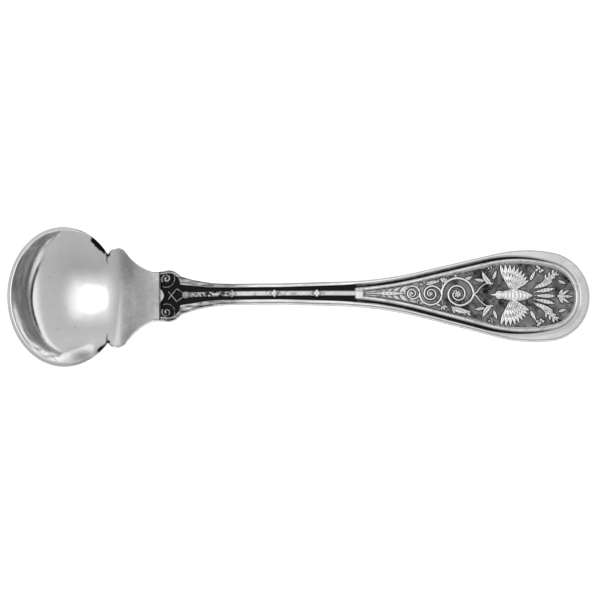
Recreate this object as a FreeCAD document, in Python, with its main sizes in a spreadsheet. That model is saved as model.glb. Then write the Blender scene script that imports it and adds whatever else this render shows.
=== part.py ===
import FreeCAD, Part
import Sketcher
import math
import os
from collections import namedtuple
from FreeCAD import Placement, Rotation, Vector

# A cast and die-struck silver salt spoon, lying bowl up as it rests on a table.
# The bowl is an oval dish that runs through two rounded shoulders into a neck.
# The stem carries scrolls, a lattice and a beaded rib; the handle a framed relief panel.
# +X runs from the bowl to the handle's end, +Z up, and the table is at Z = 0.

# Driving dimensions, in millimetres unless a comment says otherwise.
SIZES = {
    # The bowl: an oval dish whose rim plane is tipped up at the front
    "bowl_length": 18.2,
    "bowl_width": 22.9,
    "bowl_depth": 4.9,
    "bowl_wall": 0.8,
    "rim_band": 0.62,  # width of the rim's face, seen from above
    "rim_rise": 0.15,  # slope of the rim plane, up towards the tip
    "hollow_lean": 0.24,  # slope that moves the deepest place back from the middle
    # The tongue: the dished slope that climbs from the bowl's floor to the neck
    "tongue_foot": 0.3,  # height of its foot above the bowl's floor
    "tongue_reach": 4.9,  # its foot, behind the bowl's centre
    # The lobed shoulders and the neck, placed from the bowl's centre
    "lobe_reach": 8.6,
    "lobe_offset": 6.4,
    "lobe_radius": 1.75,
    "neck_reach": 14.5,
    "neck_width": 7.92,
    "shoulder_radius": 8.9,
    "step_reach": 15.6,  # where the plain bowl stops and the carving starts
    "step_height": 0.12,
    # The heel: a drop of thicker metal under the bowl, where the stem joins it
    "heel_length": 4.2,
    "heel_width": 5.4,
    "heel_drop": 0.25,
    # The head of the stem, placed from the step
    "head_reach": 1.4,
    "head_width": 8.28,
    "head_radius": 2.5,
    "waist_radius": 25.5,
    # The stem and the handle
    "stem_start": 11.8,
    "stem_width": 3.32,
    "stem_length": 8.0,
    "stem_taper": 1.7,  # degrees, each side
    "flare_radius": 63.0,
    "flare_angle": 14.0,  # degrees, each side
    "handle_width": 15.0,
    "side_radius": 24.0,
    "end_radius": 7.33,
    "end_reach": 70.3,  # from the step to the handle's end
    # The side view, whose arcs meet level at the crown
    "neck_height": 6.7,
    "neck_thickness": 2.3,
    "crown_reach": 17.8,
    "crown_height": 9.3,
    "crown_thickness": 2.5,
    "end_thickness": 1.75,
    "edge_bevel": 0.42,
    # The sunk ground, and the plain rail left round it
    "ground_depth": 0.5,
    "rail_width": 0.52,
    "ground_front": 0.14,  # from the step to the ground
    "rail_swell": 36.0,  # how much slacker the rail's inner edge runs at the waist
    "border_width": 0.85,
    "border_end": 1.4,
    # The frame of the handle's panel, and the panel inside it
    "frame_reach": 31.8,
    "frame_block": 1.35,
    "frame_width": 0.54,
    "frame_inset": 1.5,
    "frame_stem_inset": 1.2,
    "frame_end_inset": 1.83,
    "frame_drop": 0.08,
    "panel_depth": 0.42,
    # The rib on the stem and its lozenge beads
    "rib_width": 0.85,
    "bead_reach": 7.4,
    "bead_pitch": 6.87,
    "bead_length": 1.4,
    "bead_width": 1.7,
    # The lattice and the two scrolls on the head of the stem
    "lattice_reach": 1.5,
    "lattice_length": 2.9,
    "lattice_width": 2.1,
    "strand_width": 0.4,
    "scroll_reach": 1.12,
    "scroll_offset": 2.73,
    "scroll_radius": 0.74,
    "scroll_eye": 0.28,
    # The vine: half-circle swings along the panel, which grow towards the bird
    "vine_reach": 6.6,
    "vine_width": 0.36,
    "vine_drop": 0.14,
    "swing_radius": 1.24,
    "swing_growth": 1.45,  # each swing's radius, as a share of the last
    "bud_length": 4.8,
    "bud_width": 0.72,
    # The bird in the broad end
    "bird_reach": 12.2,
    "bird_length": 6.0,
    "bird_width": 2.2,
    "wing_length": 4.1,
    "feather_width": 1.2,
    "tail_length": 4.2,
    "berry_radius": 0.36,
}
BOWL_FULLNESS = 0.3  # share of the hollow that follows a fourth power
BOWL_BLEND = 1.6  # how softly the hollow runs into the tongue
TONGUE_DISH = 0.045  # how fast the tongue rises away from the axis
NECK_FLAT = 0.85  # share of that dish which is gone at the neck
FRONT_RISE = 0.05  # keeps the tongue above the front of the hollow
FOOT_BEND = 0.06  # how sharply the tongue bends up at its foot, per millimetre
RIM_LEAN = 1.25  # run of the rim's face for each millimetre down
RIM_ABOVE = 2.0
GRID = 0.8  # spacing of the points that the bowl's faces pass through
PAST = 1.6  # how far the bowl's faces and the side view run past the metal
OVERLAP = 0.2  # how deep each raised part is rooted in the metal
LOW = -2.0  # below everything
DEEP = 40.0  # longer than any cut needs

BEADS = 3
SWINGS = 3
WING_FEATHERS = 4
TAIL_FEATHERS = 3

doc = FreeCAD.newDocument("salt_spoon")
sheet = doc.addObject("Spreadsheet::Sheet", "sheet")
for row, (alias, amount) in enumerate(SIZES.items(), start=1):
    sheet.set(f"A{row}", alias)
    sheet.set(f"B{row}", str(amount))
    sheet.setAlias(f"B{row}", alias)
doc.recompute()


class Size(float):
    """A number that keeps the formula by which the sheet gives it."""

    def __new__(cls, number, formula):
        made = super().__new__(cls, number)
        made.formula = formula
        return made

    def __add__(self, other):
        return Size(float(self) + other, f"({self.formula} + {formula_of(other)})")

    def __sub__(self, other):
        return Size(float(self) - other, f"({self.formula} - {formula_of(other)})")

    def __mul__(self, other):
        return Size(float(self) * other, f"({self.formula} * {formula_of(other)})")

    def __truediv__(self, other):
        return Size(float(self) / other, f"({self.formula} / {formula_of(other)})")


def formula_of(number):
    """The formula of a size, or a plain number as text."""
    return getattr(number, "formula", f"{float(number):.12g}")


def size(alias):
    """One cell of the sheet."""
    return Size(float(sheet.get(alias)), f"sheet.{alias}")


# Stations along X: the spoon's length is centred on the origin
overall = size("bowl_length") / 2 + size("step_reach") + size("end_reach")
x_tip = -float(overall) / 2
x_bowl = x_tip + size("bowl_length") / 2
x_neck = x_bowl + size("neck_reach")
x_step = x_bowl + size("step_reach")
x_stem = x_step + size("stem_start")
x_taper = x_stem + size("stem_length")
x_crown = x_step + size("crown_reach")
x_end = x_step + size("end_reach")
x_frame = x_step + size("frame_reach")
x_panel = x_frame + size("frame_block")


# Outlines in the plan and the side view

Stretch = namedtuple("Stretch", "start end centre left measure")


def along(point, degrees, distance):
    """The point at a distance and direction from another."""
    angle = math.radians(degrees)
    return (point[0] + distance * math.cos(angle), point[1] + distance * math.sin(angle))


def heading(start, end):
    """The direction from one point to another, in degrees."""
    return math.degrees(math.atan2(end[1] - start[1], end[0] - start[0]))


def line(start, end, length=None):
    """A straight stretch, with its length where the sheet gives it."""
    return Stretch(start, end, None, None, length)


def arc(start, end, centre, left, radius=None):
    """A round stretch that turns left or right, with its radius where the sheet gives it."""
    return Stretch(start, end, centre, left, radius)


def mirror_point(point):
    """The point on the other side of the X axis."""
    return point and (point[0], -point[1])


def closed(upper):
    """An outline from its upper side, mirrored and joined across the axis."""
    lower = [
        Stretch(mirror_point(one.end), mirror_point(one.start), mirror_point(one.centre),
                one.left, one.measure)
        for one in reversed(upper)
    ]
    outline = upper + lower
    near, far = upper[0].start, upper[-1].end
    if abs(far[1]) > 1e-6:
        outline.insert(len(upper), line(far, mirror_point(far)))
    if abs(near[1]) > 1e-6:
        outline.append(line(mirror_point(near), near))
    return outline


def polygon(points):
    """A closed outline of straight stretches."""
    return [line(start, end) for start, end in zip(points, points[1:] + points[:1])]


def circles_meet(first, first_radius, second, second_radius, left):
    """The point that two circles share, on the left or right of the line between them."""
    span = math.dist(first, second)
    reach = (first_radius ** 2 - second_radius ** 2 + span ** 2) / (2 * span)
    height = math.sqrt(first_radius ** 2 - reach ** 2)
    degrees = heading(first, second)
    foot = along(first, degrees, reach)
    return along(foot, degrees + (90 if left else -90), height)


def fill_sketch(sketch, stretches):
    """Draws an outline in a sketch, joins its ends and ties its sizes to the sheet."""
    ends = []
    for start, end, centre, left, _ in stretches:
        if centre is None:
            curve = Part.LineSegment(Vector(*start, 0), Vector(*end, 0))
            ends.append((sketch.addGeometry(curve, False), 1, 2))
            continue
        first, last = (start, end) if left else (end, start)
        angles = [math.radians(heading(centre, point)) for point in (first, last)]
        circle = Part.Circle(Vector(*centre, 0), Vector(0, 0, 1), math.dist(centre, start))
        index = sketch.addGeometry(Part.ArcOfCircle(circle, *angles), False)
        ends.append((index, 1, 2) if left else (index, 2, 1))
    for (here, _, here_end), (there, there_start, _) in zip(ends, ends[1:] + ends[:1]):
        sketch.addConstraint(
            Sketcher.Constraint("Coincident", here, here_end, there, there_start))
    for (index, _, _), stretch in zip(ends, stretches):
        if isinstance(stretch.measure, Size):
            kind = "Distance" if stretch.centre is None else "Radius"
            row = sketch.addConstraint(
                Sketcher.Constraint(kind, index, float(stretch.measure)))
            sketch.renameConstraint(row, f"{kind.lower()}_{index + 1}")
            sketch.setExpression(f"Constraints[{row}]", stretch.measure.formula)
    return sketch


def body_sketch(body, name, plane, stretches, lift=0.0):
    """A sketch on one of a body's own planes."""
    sketch = body.newObject("Sketcher::SketchObject", name)
    support = next(face for face in body.Origin.OriginFeatures if face.Role == plane)
    sketch.AttachmentSupport = [(support, "")]
    sketch.MapMode = "FlatFace"
    sketch.AttachmentOffset = Placement(Vector(0, 0, lift), Rotation())
    return fill_sketch(sketch, stretches)


def prism(name, stretches):
    """An upright prism of a plan outline, through all the metal."""
    sketch = doc.addObject("Sketcher::SketchObject", f"{name}_plan")
    sketch.Placement = Placement(Vector(0, 0, LOW), Rotation())
    return extrude(name, fill_sketch(sketch, stretches), DEEP / 2, False)


def extrude(name, sketch, length, symmetric):
    """A straight solid of a sketch."""
    solid = doc.addObject("Part::Extrusion", name)
    solid.Base = sketch
    solid.DirMode = "Normal"
    solid.LengthFwd = length
    solid.Symmetric = symmetric
    solid.Solid = True
    return solid


def cut(name, base, tool):
    """One object less another."""
    feature = doc.addObject("Part::Cut", name)
    feature.Base = base
    feature.Tool = tool
    return feature


def common(name, base, tool):
    """What two objects share."""
    feature = doc.addObject("Part::Common", name)
    feature.Base = base
    feature.Tool = tool
    return feature


def fuse(name, shapes):
    """Several objects as one."""
    feature = doc.addObject("Part::MultiFuse", name)
    feature.Shapes = shapes
    feature.Refine = False
    return feature


# The bowl's faces, worked out from the sizes of the dish and the tongue

hollow_length = float(size("bowl_length") / 2 - size("rim_band"))
hollow_width = float(size("bowl_width") / 2 - size("rim_band"))
bowl_depth = float(size("bowl_depth"))
bowl_wall = float(size("bowl_wall"))
rim_rise = float(size("rim_rise"))
hollow_lean = float(size("hollow_lean"))
neck_height = float(size("neck_height"))
foot_x = float(x_bowl + size("tongue_reach"))
foot_height = bowl_wall + float(size("tongue_foot"))
tongue_run = float(x_step) - foot_x


def bow(crown_z, foot_z, x_foot):
    """Radius of the arc that leaves the crown level and passes a foot."""
    rise, run = crown_z - foot_z, x_foot - x_crown
    return (run ** 2 + rise ** 2) / (2 * rise)


neck_slope = math.tan(math.asin(
    (x_crown - x_step) / bow(size("crown_height"), neck_height, x_step)))


def hollow(x, y, rim_height):
    """Height of the oval dish, deepest behind its middle, which goes on straight past its rim."""
    spread = math.hypot((x - x_bowl) / hollow_length, y / hollow_width)
    rim = rim_height - rim_rise * (x - x_bowl)
    lean = hollow_lean * (x - x_bowl)
    if spread > 1:
        return rim + 2 * (bowl_depth * (1 + BOWL_FULLNESS) + lean) * (spread - 1)
    fall = bowl_depth * (1 + BOWL_FULLNESS * spread ** 2) + lean
    return rim - fall * (1 - spread ** 2)


def tongue(x, y):
    """Height of the dished tongue: level at its foot, and in line with the stem at the neck."""
    step = (x - foot_x) / tongue_run
    side = TONGUE_DISH * y ** 2 * (1 - NECK_FLAT * min(max(step, 0), 1) ** 2)
    if step < 0:
        return foot_height + side + FRONT_RISE * (x - foot_x) ** 2
    if step > 1:
        return neck_height + side + neck_slope * (x - x_step)
    climb = (neck_height - foot_height) * step ** 3 * (10 - 15 * step + 6 * step ** 2)
    climb += neck_slope * tongue_run * step ** 3 * (7 * step - 3 * step ** 2 - 4)
    climb += FOOT_BEND * tongue_run ** 2 * step ** 2 * (1 - step) ** 3 / 2
    return foot_height + side + climb


def bowl_top(x, y, rim_height):
    """The bowl's upper face: the lower of the dish and the tongue, softly joined."""
    dish, rise = hollow(x, y, rim_height), tongue(x, y)
    share = max(BOWL_BLEND - abs(dish - rise), 0) / BOWL_BLEND
    return min(dish, rise) - share ** 2 * BOWL_BLEND / 4


def floor_height(rim_height):
    """The lowest point of the bowl's upper face, which is on the axis."""
    places = 400
    step = hollow_length / places
    return min(bowl_top(x_bowl + step * place, 0, rim_height) for place in range(places))


# The rim's height puts the underside of the bowl on the table
rim_height = bowl_depth + bowl_wall
for _ in range(12):
    rim_height += bowl_wall - floor_height(rim_height)


def bowl_point(x, y, wall):
    """A point of the upper face, moved down by the wall square to that face."""
    near = 0.01
    slope_x = bowl_top(x + near, y, rim_height) - bowl_top(x - near, y, rim_height)
    slope_y = bowl_top(x, y + near, rim_height) - bowl_top(x, y - near, rim_height)
    normal = Vector(-slope_x, -slope_y, 2 * near).normalize()
    return Vector(x, y, bowl_top(x, y, rim_height)) - normal * wall


def wall_at(x):
    """The wall, which thickens along the tongue towards the neck."""
    share = min(max((x - foot_x) / tongue_run, 0), 1)
    neck_wall = size("neck_thickness") - size("step_height") * 2
    return bowl_wall + (neck_wall - bowl_wall) * (3 - 2 * share) * share ** 2


def metal_under(name, wall_of):
    """Everything below the bowl's upper face, moved down by a wall."""
    columns = int((x_step + 2 * PAST - x_tip) / GRID) + 2
    rows = int((size("bowl_width") / 2 + PAST) / GRID)
    surface = Part.BSplineSurface()
    surface.interpolate([
        [bowl_point(x, GRID * row, wall_of(x)) for row in range(-rows, rows + 1)]
        for x in (x_tip - PAST + GRID * column for column in range(columns))
    ])
    feature = doc.addObject("Part::Feature", name)
    feature.Shape = surface.toShape().extrude(Vector(0, 0, -DEEP))
    return feature


# The bowl: its sheet, trimmed square to the wall at the rim and upright at the shoulders

def rim_ellipse(name, height):
    """A level of the cone that trims the rim, tipped with the rim plane."""
    shrink = size("rim_band") + height * RIM_LEAN
    ellipse = doc.addObject("Part::Ellipse", name)
    width, length = size("bowl_width") / 2 - shrink, size("bowl_length") / 2 - shrink
    ellipse.setExpression("MajorRadius", f"{width.formula} * 1 mm")
    ellipse.setExpression("MinorRadius", f"{length.formula} * 1 mm")
    tip = Rotation(Vector(0, 1, 0), math.degrees(math.atan(rim_rise)))
    centre = Vector(x_bowl, 0, rim_height) + tip.multVec(Vector(0, 0, height))
    ellipse.Placement = Placement(centre, tip * Rotation(Vector(0, 0, 1), 90))
    return ellipse


def shoulder_side():
    """Upper side of the shoulders: round lobe, hollow shoulder, then the neck."""
    lobe, hollow_side = size("lobe_radius"), size("shoulder_radius")
    lobe_centre = (x_bowl + size("lobe_reach"), size("lobe_offset"))
    neck_corner = (x_neck, size("neck_width") / 2)
    centre = circles_meet(lobe_centre, lobe + hollow_side, neck_corner, hollow_side, True)
    join = along(lobe_centre, heading(lobe_centre, centre), lobe)
    start = along(lobe_centre, 180, lobe)
    return [
        arc(start, join, lobe_centre, False, lobe),
        arc(join, neck_corner, centre, True, hollow_side),
        line(neck_corner, (x_step, neck_corner[1])),
    ]


bowl_sheet = cut(
    "bowl_sheet", metal_under("under_top", lambda x: 0), metal_under("under_bottom", wall_at))
rim_cone = doc.addObject("Part::Loft", "rim_cone")
rim_cone.Sections = [
    rim_ellipse("rim_upper", RIM_ABOVE),
    rim_ellipse("rim_lower", -bowl_depth - 2 * bowl_wall),
]
rim_cone.Solid = True
rim_cone.Ruled = True
shoulders = prism("shoulders", closed(shoulder_side()))
bowl = common("bowl", bowl_sheet, fuse("bowl_trim", [rim_cone, shoulders]))

# The heel: a rounded drop under the bowl, rooted in half of its wall
heel_half = size("heel_width") / 2
heel_centre = (x_step - size("heel_length"), 0)
heel_shoulder = along(heel_centre, 90, heel_half)
heel_sheet = cut(
    "heel_sheet",
    metal_under("heel_top", lambda x: wall_at(x) - bowl_wall / 2),
    metal_under("heel_bottom", lambda x: wall_at(x) + size("heel_drop")),
)
heel_plan = closed([
    arc(along(heel_centre, 180, heel_half), heel_shoulder, heel_centre, False, heel_half),
    line(heel_shoulder, (x_step + OVERLAP, heel_half)),
])
heel = common("heel", heel_sheet, prism("heel_prism", heel_plan))


# The plan of the stem and handle, at any inset from its edge

def handle_side(stem_half, broad_half, side_radius, end_radius, end_x, start_x):
    """Upper side of the handle: tapered stem, hollow flare, straight, full side, round end."""
    taper, flare = size("stem_taper"), size("flare_angle")
    end_centre = (end_x - end_radius, 0)
    reach = side_radius - end_radius
    lean = math.degrees(math.acos((side_radius - broad_half) / reach))
    side_centre = along(end_centre, 270 - lean, reach)
    widest = along(side_centre, 90 + flare, side_radius)
    join = along(end_centre, 90 - lean, end_radius)
    taper_slope, flare_slope = math.tan(math.radians(taper)), math.tan(math.radians(flare))
    corner_x = stem_half - taper_slope * x_taper - widest[1] + flare_slope * widest[0]
    corner_x = float(corner_x) / (flare_slope - taper_slope)
    corner = (corner_x, stem_half + taper_slope * (corner_x - x_taper))
    radius = size("flare_radius")
    tangent = radius * math.tan(math.radians(flare - taper) / 2)
    flare_start = along(corner, 180 + taper, tangent)
    flare_end = along(corner, flare, tangent)
    flare_centre = along(flare_start, 90 + taper, radius)
    if start_x < flare_start[0]:
        begin = (start_x, stem_half + taper_slope * (start_x - x_taper))
        opening = [line(begin, flare_start)]
    else:
        drop = math.sqrt(radius ** 2 - (start_x - flare_centre[0]) ** 2)
        flare_start = (start_x, flare_centre[1] - drop)
        opening = []
    return opening + [
        arc(flare_start, flare_end, flare_centre, True, radius),
        line(flare_end, widest),
        arc(widest, join, side_centre, False, side_radius),
        arc(join, (end_x, 0), end_centre, False, end_radius),
    ]


def stem_side(inset, front_inset, broad_inset, end_inset, waist_radius):
    """Upper side of the whole carved part, from the step at the bowl to the handle's end."""
    head_top = size("head_width") / 2 - inset
    head_radius = size("head_radius") - inset
    head_centre = (x_step + size("head_reach"), head_top - head_radius)
    stem_half = size("stem_width") / 2 - inset
    waist_centre = (x_stem, stem_half + waist_radius)
    waist_start = circles_meet(head_centre, head_radius, waist_centre, waist_radius, False)
    crest = (head_centre[0], head_top)
    handle = handle_side(
        stem_half,
        size("handle_width") / 2 - broad_inset,
        size("side_radius") - broad_inset,
        size("end_radius") - end_inset,
        x_end - end_inset,
        x_taper,
    )
    return [
        line((x_step + front_inset, size("neck_width") / 2 - inset), crest),
        arc(crest, waist_start, head_centre, False, head_radius),
        arc(waist_start, (x_stem, stem_half), waist_centre, True, waist_radius),
        line((x_stem, stem_half), (x_taper, stem_half), size("stem_length")),
    ] + handle


# The side view: long arcs above and below, each from the crown to one end

crown_height = size("crown_height")
# The bevelled lower corner of the handle's end is what touches the table


def bowed_line(crown_z, near_radius, far_radius, beyond_z):
    """Closed outline between a bowed line, level at the crown, and a level beyond it."""
    crown = (x_crown, crown_z)
    centres = [(x_crown, crown_z - radius) for radius in (near_radius, far_radius)]
    start_x, end_x = x_step - PAST, x_end + PAST
    start = (start_x, centres[0][1] + math.sqrt(near_radius ** 2 - (x_crown - start_x) ** 2))
    end = (end_x, centres[1][1] + math.sqrt(far_radius ** 2 - (end_x - x_crown) ** 2))
    return [
        arc(start, crown, centres[0], False),
        arc(crown, end, centres[1], False),
        line(end, (end_x, beyond_z)),
        line((end_x, beyond_z), (start_x, beyond_z)),
        line((start_x, beyond_z), start),
    ]


upper_line = bowed_line(
    crown_height,
    bow(crown_height, neck_height + size("step_height"), x_step),
    bow(crown_height, size("end_thickness"), x_end),
    DEEP / 2,
)
lower_crown = crown_height - size("crown_thickness")
lower_line = bowed_line(
    lower_crown,
    bow(lower_crown, neck_height - size("neck_thickness"), x_step),
    bow(lower_crown, 0, x_end - size("edge_bevel")),
    2 * LOW,
)


def air(name, depth):
    """All that lies above the stem's upper face, lowered by a depth."""
    sketch = doc.addObject("Sketcher::SketchObject", f"{name}_line")
    sketch.Placement = Placement(Vector(0, 0, -depth), Rotation(Vector(1, 0, 0), 90))
    sketch.setExpression("Placement.Base.z", f"-{depth.formula} * 1 mm")
    return extrude(name, fill_sketch(sketch, upper_line), DEEP, True)


# The blank of the stem and handle: its plan, cut to the side view, with bevelled edges
blank = doc.addObject("PartDesign::Body", "stem_blank")
pad = blank.newObject("PartDesign::Pad", "blank_pad")
pad.Profile = body_sketch(
    blank, "blank_plan", "XY_Plane", closed(stem_side(0, 0, 0, 0, size("waist_radius"))), LOW)
pad.Length = DEEP / 2
doc.recompute()
for word, stretches in (("above", upper_line), ("below", lower_line)):
    pocket = blank.newObject("PartDesign::Pocket", f"blank_{word}")
    pocket.Profile = body_sketch(blank, f"{word}_line", "XZ_Plane", stretches)
    pocket.SideType = "Symmetric"
    pocket.Length = DEEP
    doc.recompute()


def is_side_edge(edge):
    """True of the long edges at the sides and the end, above and below."""
    box = edge.BoundBox
    upright = box.XLength < 0.05 and box.YLength < 0.05
    return box.YMax * box.YMin > -1e-6 and not upright


side_edges = [
    f"Edge{number}" for number, edge in enumerate(pocket.Shape.Edges, start=1)
    if is_side_edge(edge)
]
bevel = blank.newObject("PartDesign::Chamfer", "blank_bevel")
bevel.Base = (pocket, side_edges)
bevel.setExpression("Size", "sheet.edge_bevel * 1 mm")
doc.recompute()


# The carving: a sunk ground along the stem and handle, and what stands up from it

def layer(name, shapes, top_depth, bottom_depth):
    """The given prisms, kept between two depths below the stem's upper face."""
    slab = cut(f"{name}_slab", air(f"{name}_bottom", bottom_depth), air(f"{name}_top", top_depth))
    return common(name, fuse(f"{name}_prisms", shapes) if len(shapes) > 1 else shapes[0], slab)


def oval(name, centre, length, width, degrees):
    """A leaf or feather: two equal arcs that meet in points."""
    half, bulge = length / 2, width / 2
    radius = (half ** 2 + bulge ** 2) / (2 * bulge)
    tail, tip = along(centre, degrees + 180, half), along(centre, degrees, half)
    lower_centre = along(centre, degrees - 90, radius - bulge)
    upper_centre = along(centre, degrees + 90, radius - bulge)
    return prism(name, [arc(tail, tip, lower_centre, False), arc(tip, tail, upper_centre, False)])


def bead(name, centre, radius, sides):
    """A berry, eye or head, round but for its many sides."""
    turn = 360 / sides
    return prism(name, polygon([along(centre, turn * number, radius) for number in range(sides)]))


def ribbon(name, centre, radius, start, stop, width):
    """A tendril: a band along an arc, from one direction to another, in degrees."""
    left = stop > start
    inner, outer = radius - width / 2, radius + width / 2
    points = [along(centre, degrees, reach) for degrees, reach in
              ((start, outer), (stop, outer), (stop, inner), (start, inner))]
    return prism(name, [
        arc(points[0], points[1], centre, left),
        line(points[1], points[2], width),
        arc(points[2], points[3], centre, not left),
        line(points[3], points[0]),
    ])


def bar(name, start, end, width):
    """A straight band between two points."""
    degrees, half = heading(start, end), width / 2
    corners = [along(start, degrees + 90, half), along(end, degrees + 90, half),
               along(end, degrees - 90, half), along(start, degrees - 90, half)]
    outline = polygon(corners)
    outline[1] = line(corners[1], corners[2], width)
    return prism(name, outline)


ground_root = size("ground_depth") + OVERLAP
panel_root = size("panel_depth") + OVERLAP / 2
relief_top = size("frame_drop")

ground_side = stem_side(
    size("rail_width"), size("ground_front"), size("border_width"), size("border_end"),
    size("waist_radius") + size("rail_swell"))
ground = common("ground", prism("ground_prism", closed(ground_side)),
                air("ground_air", size("ground_depth")))
sunk_stem = cut("sunk_stem", blank, ground)


# The raised frame round the panel, closed by a block where the rib ends

def frame_side(extra, start_x):
    """Upper side of the frame, at an extra inset from its outer edge."""
    inset = size("frame_inset") + extra
    end_inset = size("frame_end_inset") + extra
    return handle_side(
        size("stem_width") / 2 - size("frame_stem_inset") - extra,
        size("handle_width") / 2 - inset,
        size("side_radius") - inset,
        size("end_radius") - end_inset,
        x_end - end_inset,
        start_x,
    )


frame_prism = prism("frame_prism", closed(frame_side(0, x_frame)))
panel_prism = prism("panel_prism", closed(frame_side(size("frame_width"), x_panel)))
frame_ring = cut("frame_ring", frame_prism, panel_prism)
frame = layer("frame", [frame_ring], relief_top, ground_root)
panel = layer("panel", [panel_prism], size("panel_depth"), ground_root)

# The rib along the stem, with lozenge beads, ending in a lattice between the scrolls
x_lattice = x_step + size("lattice_reach")
x_rib = x_lattice + size("lattice_length")
rib_parts = [bar("rib", (x_rib, 0), (x_frame + size("frame_width"), 0), size("rib_width"))]
for number in range(BEADS):
    x_bead = x_rib + size("bead_reach") + size("bead_pitch") * number
    reach, half = size("bead_length") / 2, size("bead_width") / 2
    rib_parts.append(prism(f"bead_{number + 1}", polygon(
        [(x_bead - reach, 0), (x_bead, half), (x_bead + reach, 0), (x_bead, -half)])))
strand = size("strand_width")
x_knee = x_lattice + size("lattice_length") * 0.45  # the lattice's widest corners
for side, word in ((1, "left"), (-1, "right")):
    knee = (x_knee, size("lattice_width") / 2 * side)
    crossed = (x_lattice, -strand * side * 1.4)  # the strands cross and run on a little
    rib_parts.append(bar(f"strand_out_{word}", knee, (x_rib, 0), strand))
    rib_parts.append(bar(f"strand_in_{word}", knee, crossed, strand))
rib = layer("rib_relief", rib_parts, relief_top, ground_root)

# A scroll at each side of the lattice: an eye with a curl round it
CURL_START, CURL_END = 190, -40  # directions of a curl's ends, in degrees
scroll_parts = []
for side, word in ((1, "left"), (-1, "right")):
    eye = (x_step + size("scroll_reach"), size("scroll_offset") * side)
    scroll_parts.append(bead(f"scroll_eye_{word}", eye, size("scroll_eye"), 8))
    scroll_parts.append(ribbon(
        f"scroll_curl_{word}", eye, size("scroll_radius"), CURL_START * side, CURL_END * side,
        strand))
scrolls = layer("scrolls", scroll_parts, relief_top, ground_root)

# The vine: half circles from side to side, each with a curl and an eye inside and two leaves
CURL_SHARE = 0.56  # sizes in a swing, as shares of its radius
EYE_SHARE = 0.24
LEAF_SHARE, LEAF_BREADTH = 1.25, 0.4
LEAF_OUT = 0.98
vine_parts = []
vine_width = size("vine_width")
x_swing = x_panel + size("vine_reach")
swing = size("swing_radius")
for number in range(SWINGS):
    side = 1 if number % 2 == 0 else -1
    middle = (x_swing + swing, 0)
    vine_parts.append(ribbon(f"vine_{number + 1}", middle, swing, 180 * side, 0, vine_width))
    vine_parts.append(ribbon(
        f"curl_{number + 1}", middle, swing * CURL_SHARE, -20 * side, -225 * side, vine_width))
    vine_parts.append(bead(f"eye_{number + 1}", middle, swing * EYE_SHARE, 8))
    vine_parts.append(oval(
        f"leaf_{number + 1}", along(middle, -78 * side, swing * LEAF_OUT),
        swing * LEAF_SHARE, swing * LEAF_BREADTH, -size("flare_angle") * side))
    x_swing = x_swing + swing * 2
    swing = swing * size("swing_growth")

# A pointed bud in the narrow end, where the vine starts
bud_length = size("bud_length")
x_bud = x_panel + size("vine_reach") - bud_length / 2
vine_parts.append(oval("bud", (x_bud, 0), bud_length, size("bud_width"), 0))

# The bird in flight towards the bowl: body, head and beak, spread wings and fanned tail
x_bird = x_end - size("bird_reach")
bird_length, bird_width = size("bird_length"), size("bird_width")
x_head = x_bird - bird_length * 0.48
head_radius = bird_width * 0.38
body_parts = [
    oval("bird_body", (x_bird, 0), bird_length, bird_width, 0),
    bead("bird_head", (x_head, 0), head_radius, 14),
    oval("bird_beak", (x_head - head_radius, 0), head_radius * 2, head_radius * 0.75, 0),
]
TAIL_SPREAD = 15  # degrees between feathers
WING_FIRST, WING_SPREAD = 103, 20
WING_TAPER = 0.07  # each wing feather is shorter than the last by this share of the first
feathers = []
tail_middle = bird_length * 0.36 + size("tail_length") / 2
for number in range(TAIL_FEATHERS):
    degrees = TAIL_SPREAD * (number - (TAIL_FEATHERS - 1) / 2)
    feathers.append(oval(
        f"tail_{number + 1}", along((x_bird, 0), degrees, tail_middle), size("tail_length"),
        size("feather_width"), degrees))
# Leaves round the bird: their middle, length and width as shares of the bird's, and their lean
SPRIGS = [
    ((-0.80, 0.42), 0.42, 0.42, 130),
    ((0.92, 0.52), 0.56, 0.42, 38),
]
for side, word in ((1, "left"), (-1, "right")):
    shoulder = (x_bird - bird_length * 0.14, bird_width / 4 * side)
    for number in range(WING_FEATHERS):
        degrees = (WING_FIRST - WING_SPREAD * number) * side
        feather = size("wing_length") * (1 - WING_TAPER * number)
        feathers.append(oval(
            f"wing_{word}_{number + 1}", along(shoulder, degrees, feather / 2), feather,
            size("feather_width"), degrees))
    for number, (place, long, broad, lean) in enumerate(SPRIGS, start=1):
        middle = (x_bird + bird_length * place[0], bird_length * place[1] * side)
        vine_parts.append(oval(
            f"sprig_{word}_{number}", middle, bird_length * long, bird_width * broad, lean * side))
    berry = (x_bird + bird_length * 0.72, bird_length * 0.70 * side)
    vine_parts.append(bead(f"berry_{word}", berry, size("berry_radius"), 8))
vine = layer("vine", vine_parts, size("vine_drop"), panel_root)
plumage = layer("plumage", feathers, size("vine_drop"), panel_root)
bird = layer("bird", body_parts, relief_top, panel_root)

spoon = fuse("salt_spoon", [
    bowl, heel, sunk_stem, frame, panel, rib, scrolls, vine, plumage, bird])
doc.recompute()

failed = [item.Label for item in doc.Objects if {"Invalid", "Error"} & set(item.State)]
if failed:
    raise RuntimeError(f"These features failed: {failed}")
if spoon.Shape.isNull() or not spoon.Shape.isValid():
    raise RuntimeError("The spoon's solid is not valid")
if len(spoon.Shape.Solids) != 1:
    raise RuntimeError(f"The spoon is in {len(spoon.Shape.Solids)} pieces")

os.makedirs("parts", exist_ok=True)
spoon.Label = "salt_spoon"
spoon.Shape.exportStep("parts/salt_spoon.step")
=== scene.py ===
import math
import bpy
import numpy as np
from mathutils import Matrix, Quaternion, Vector


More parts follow.
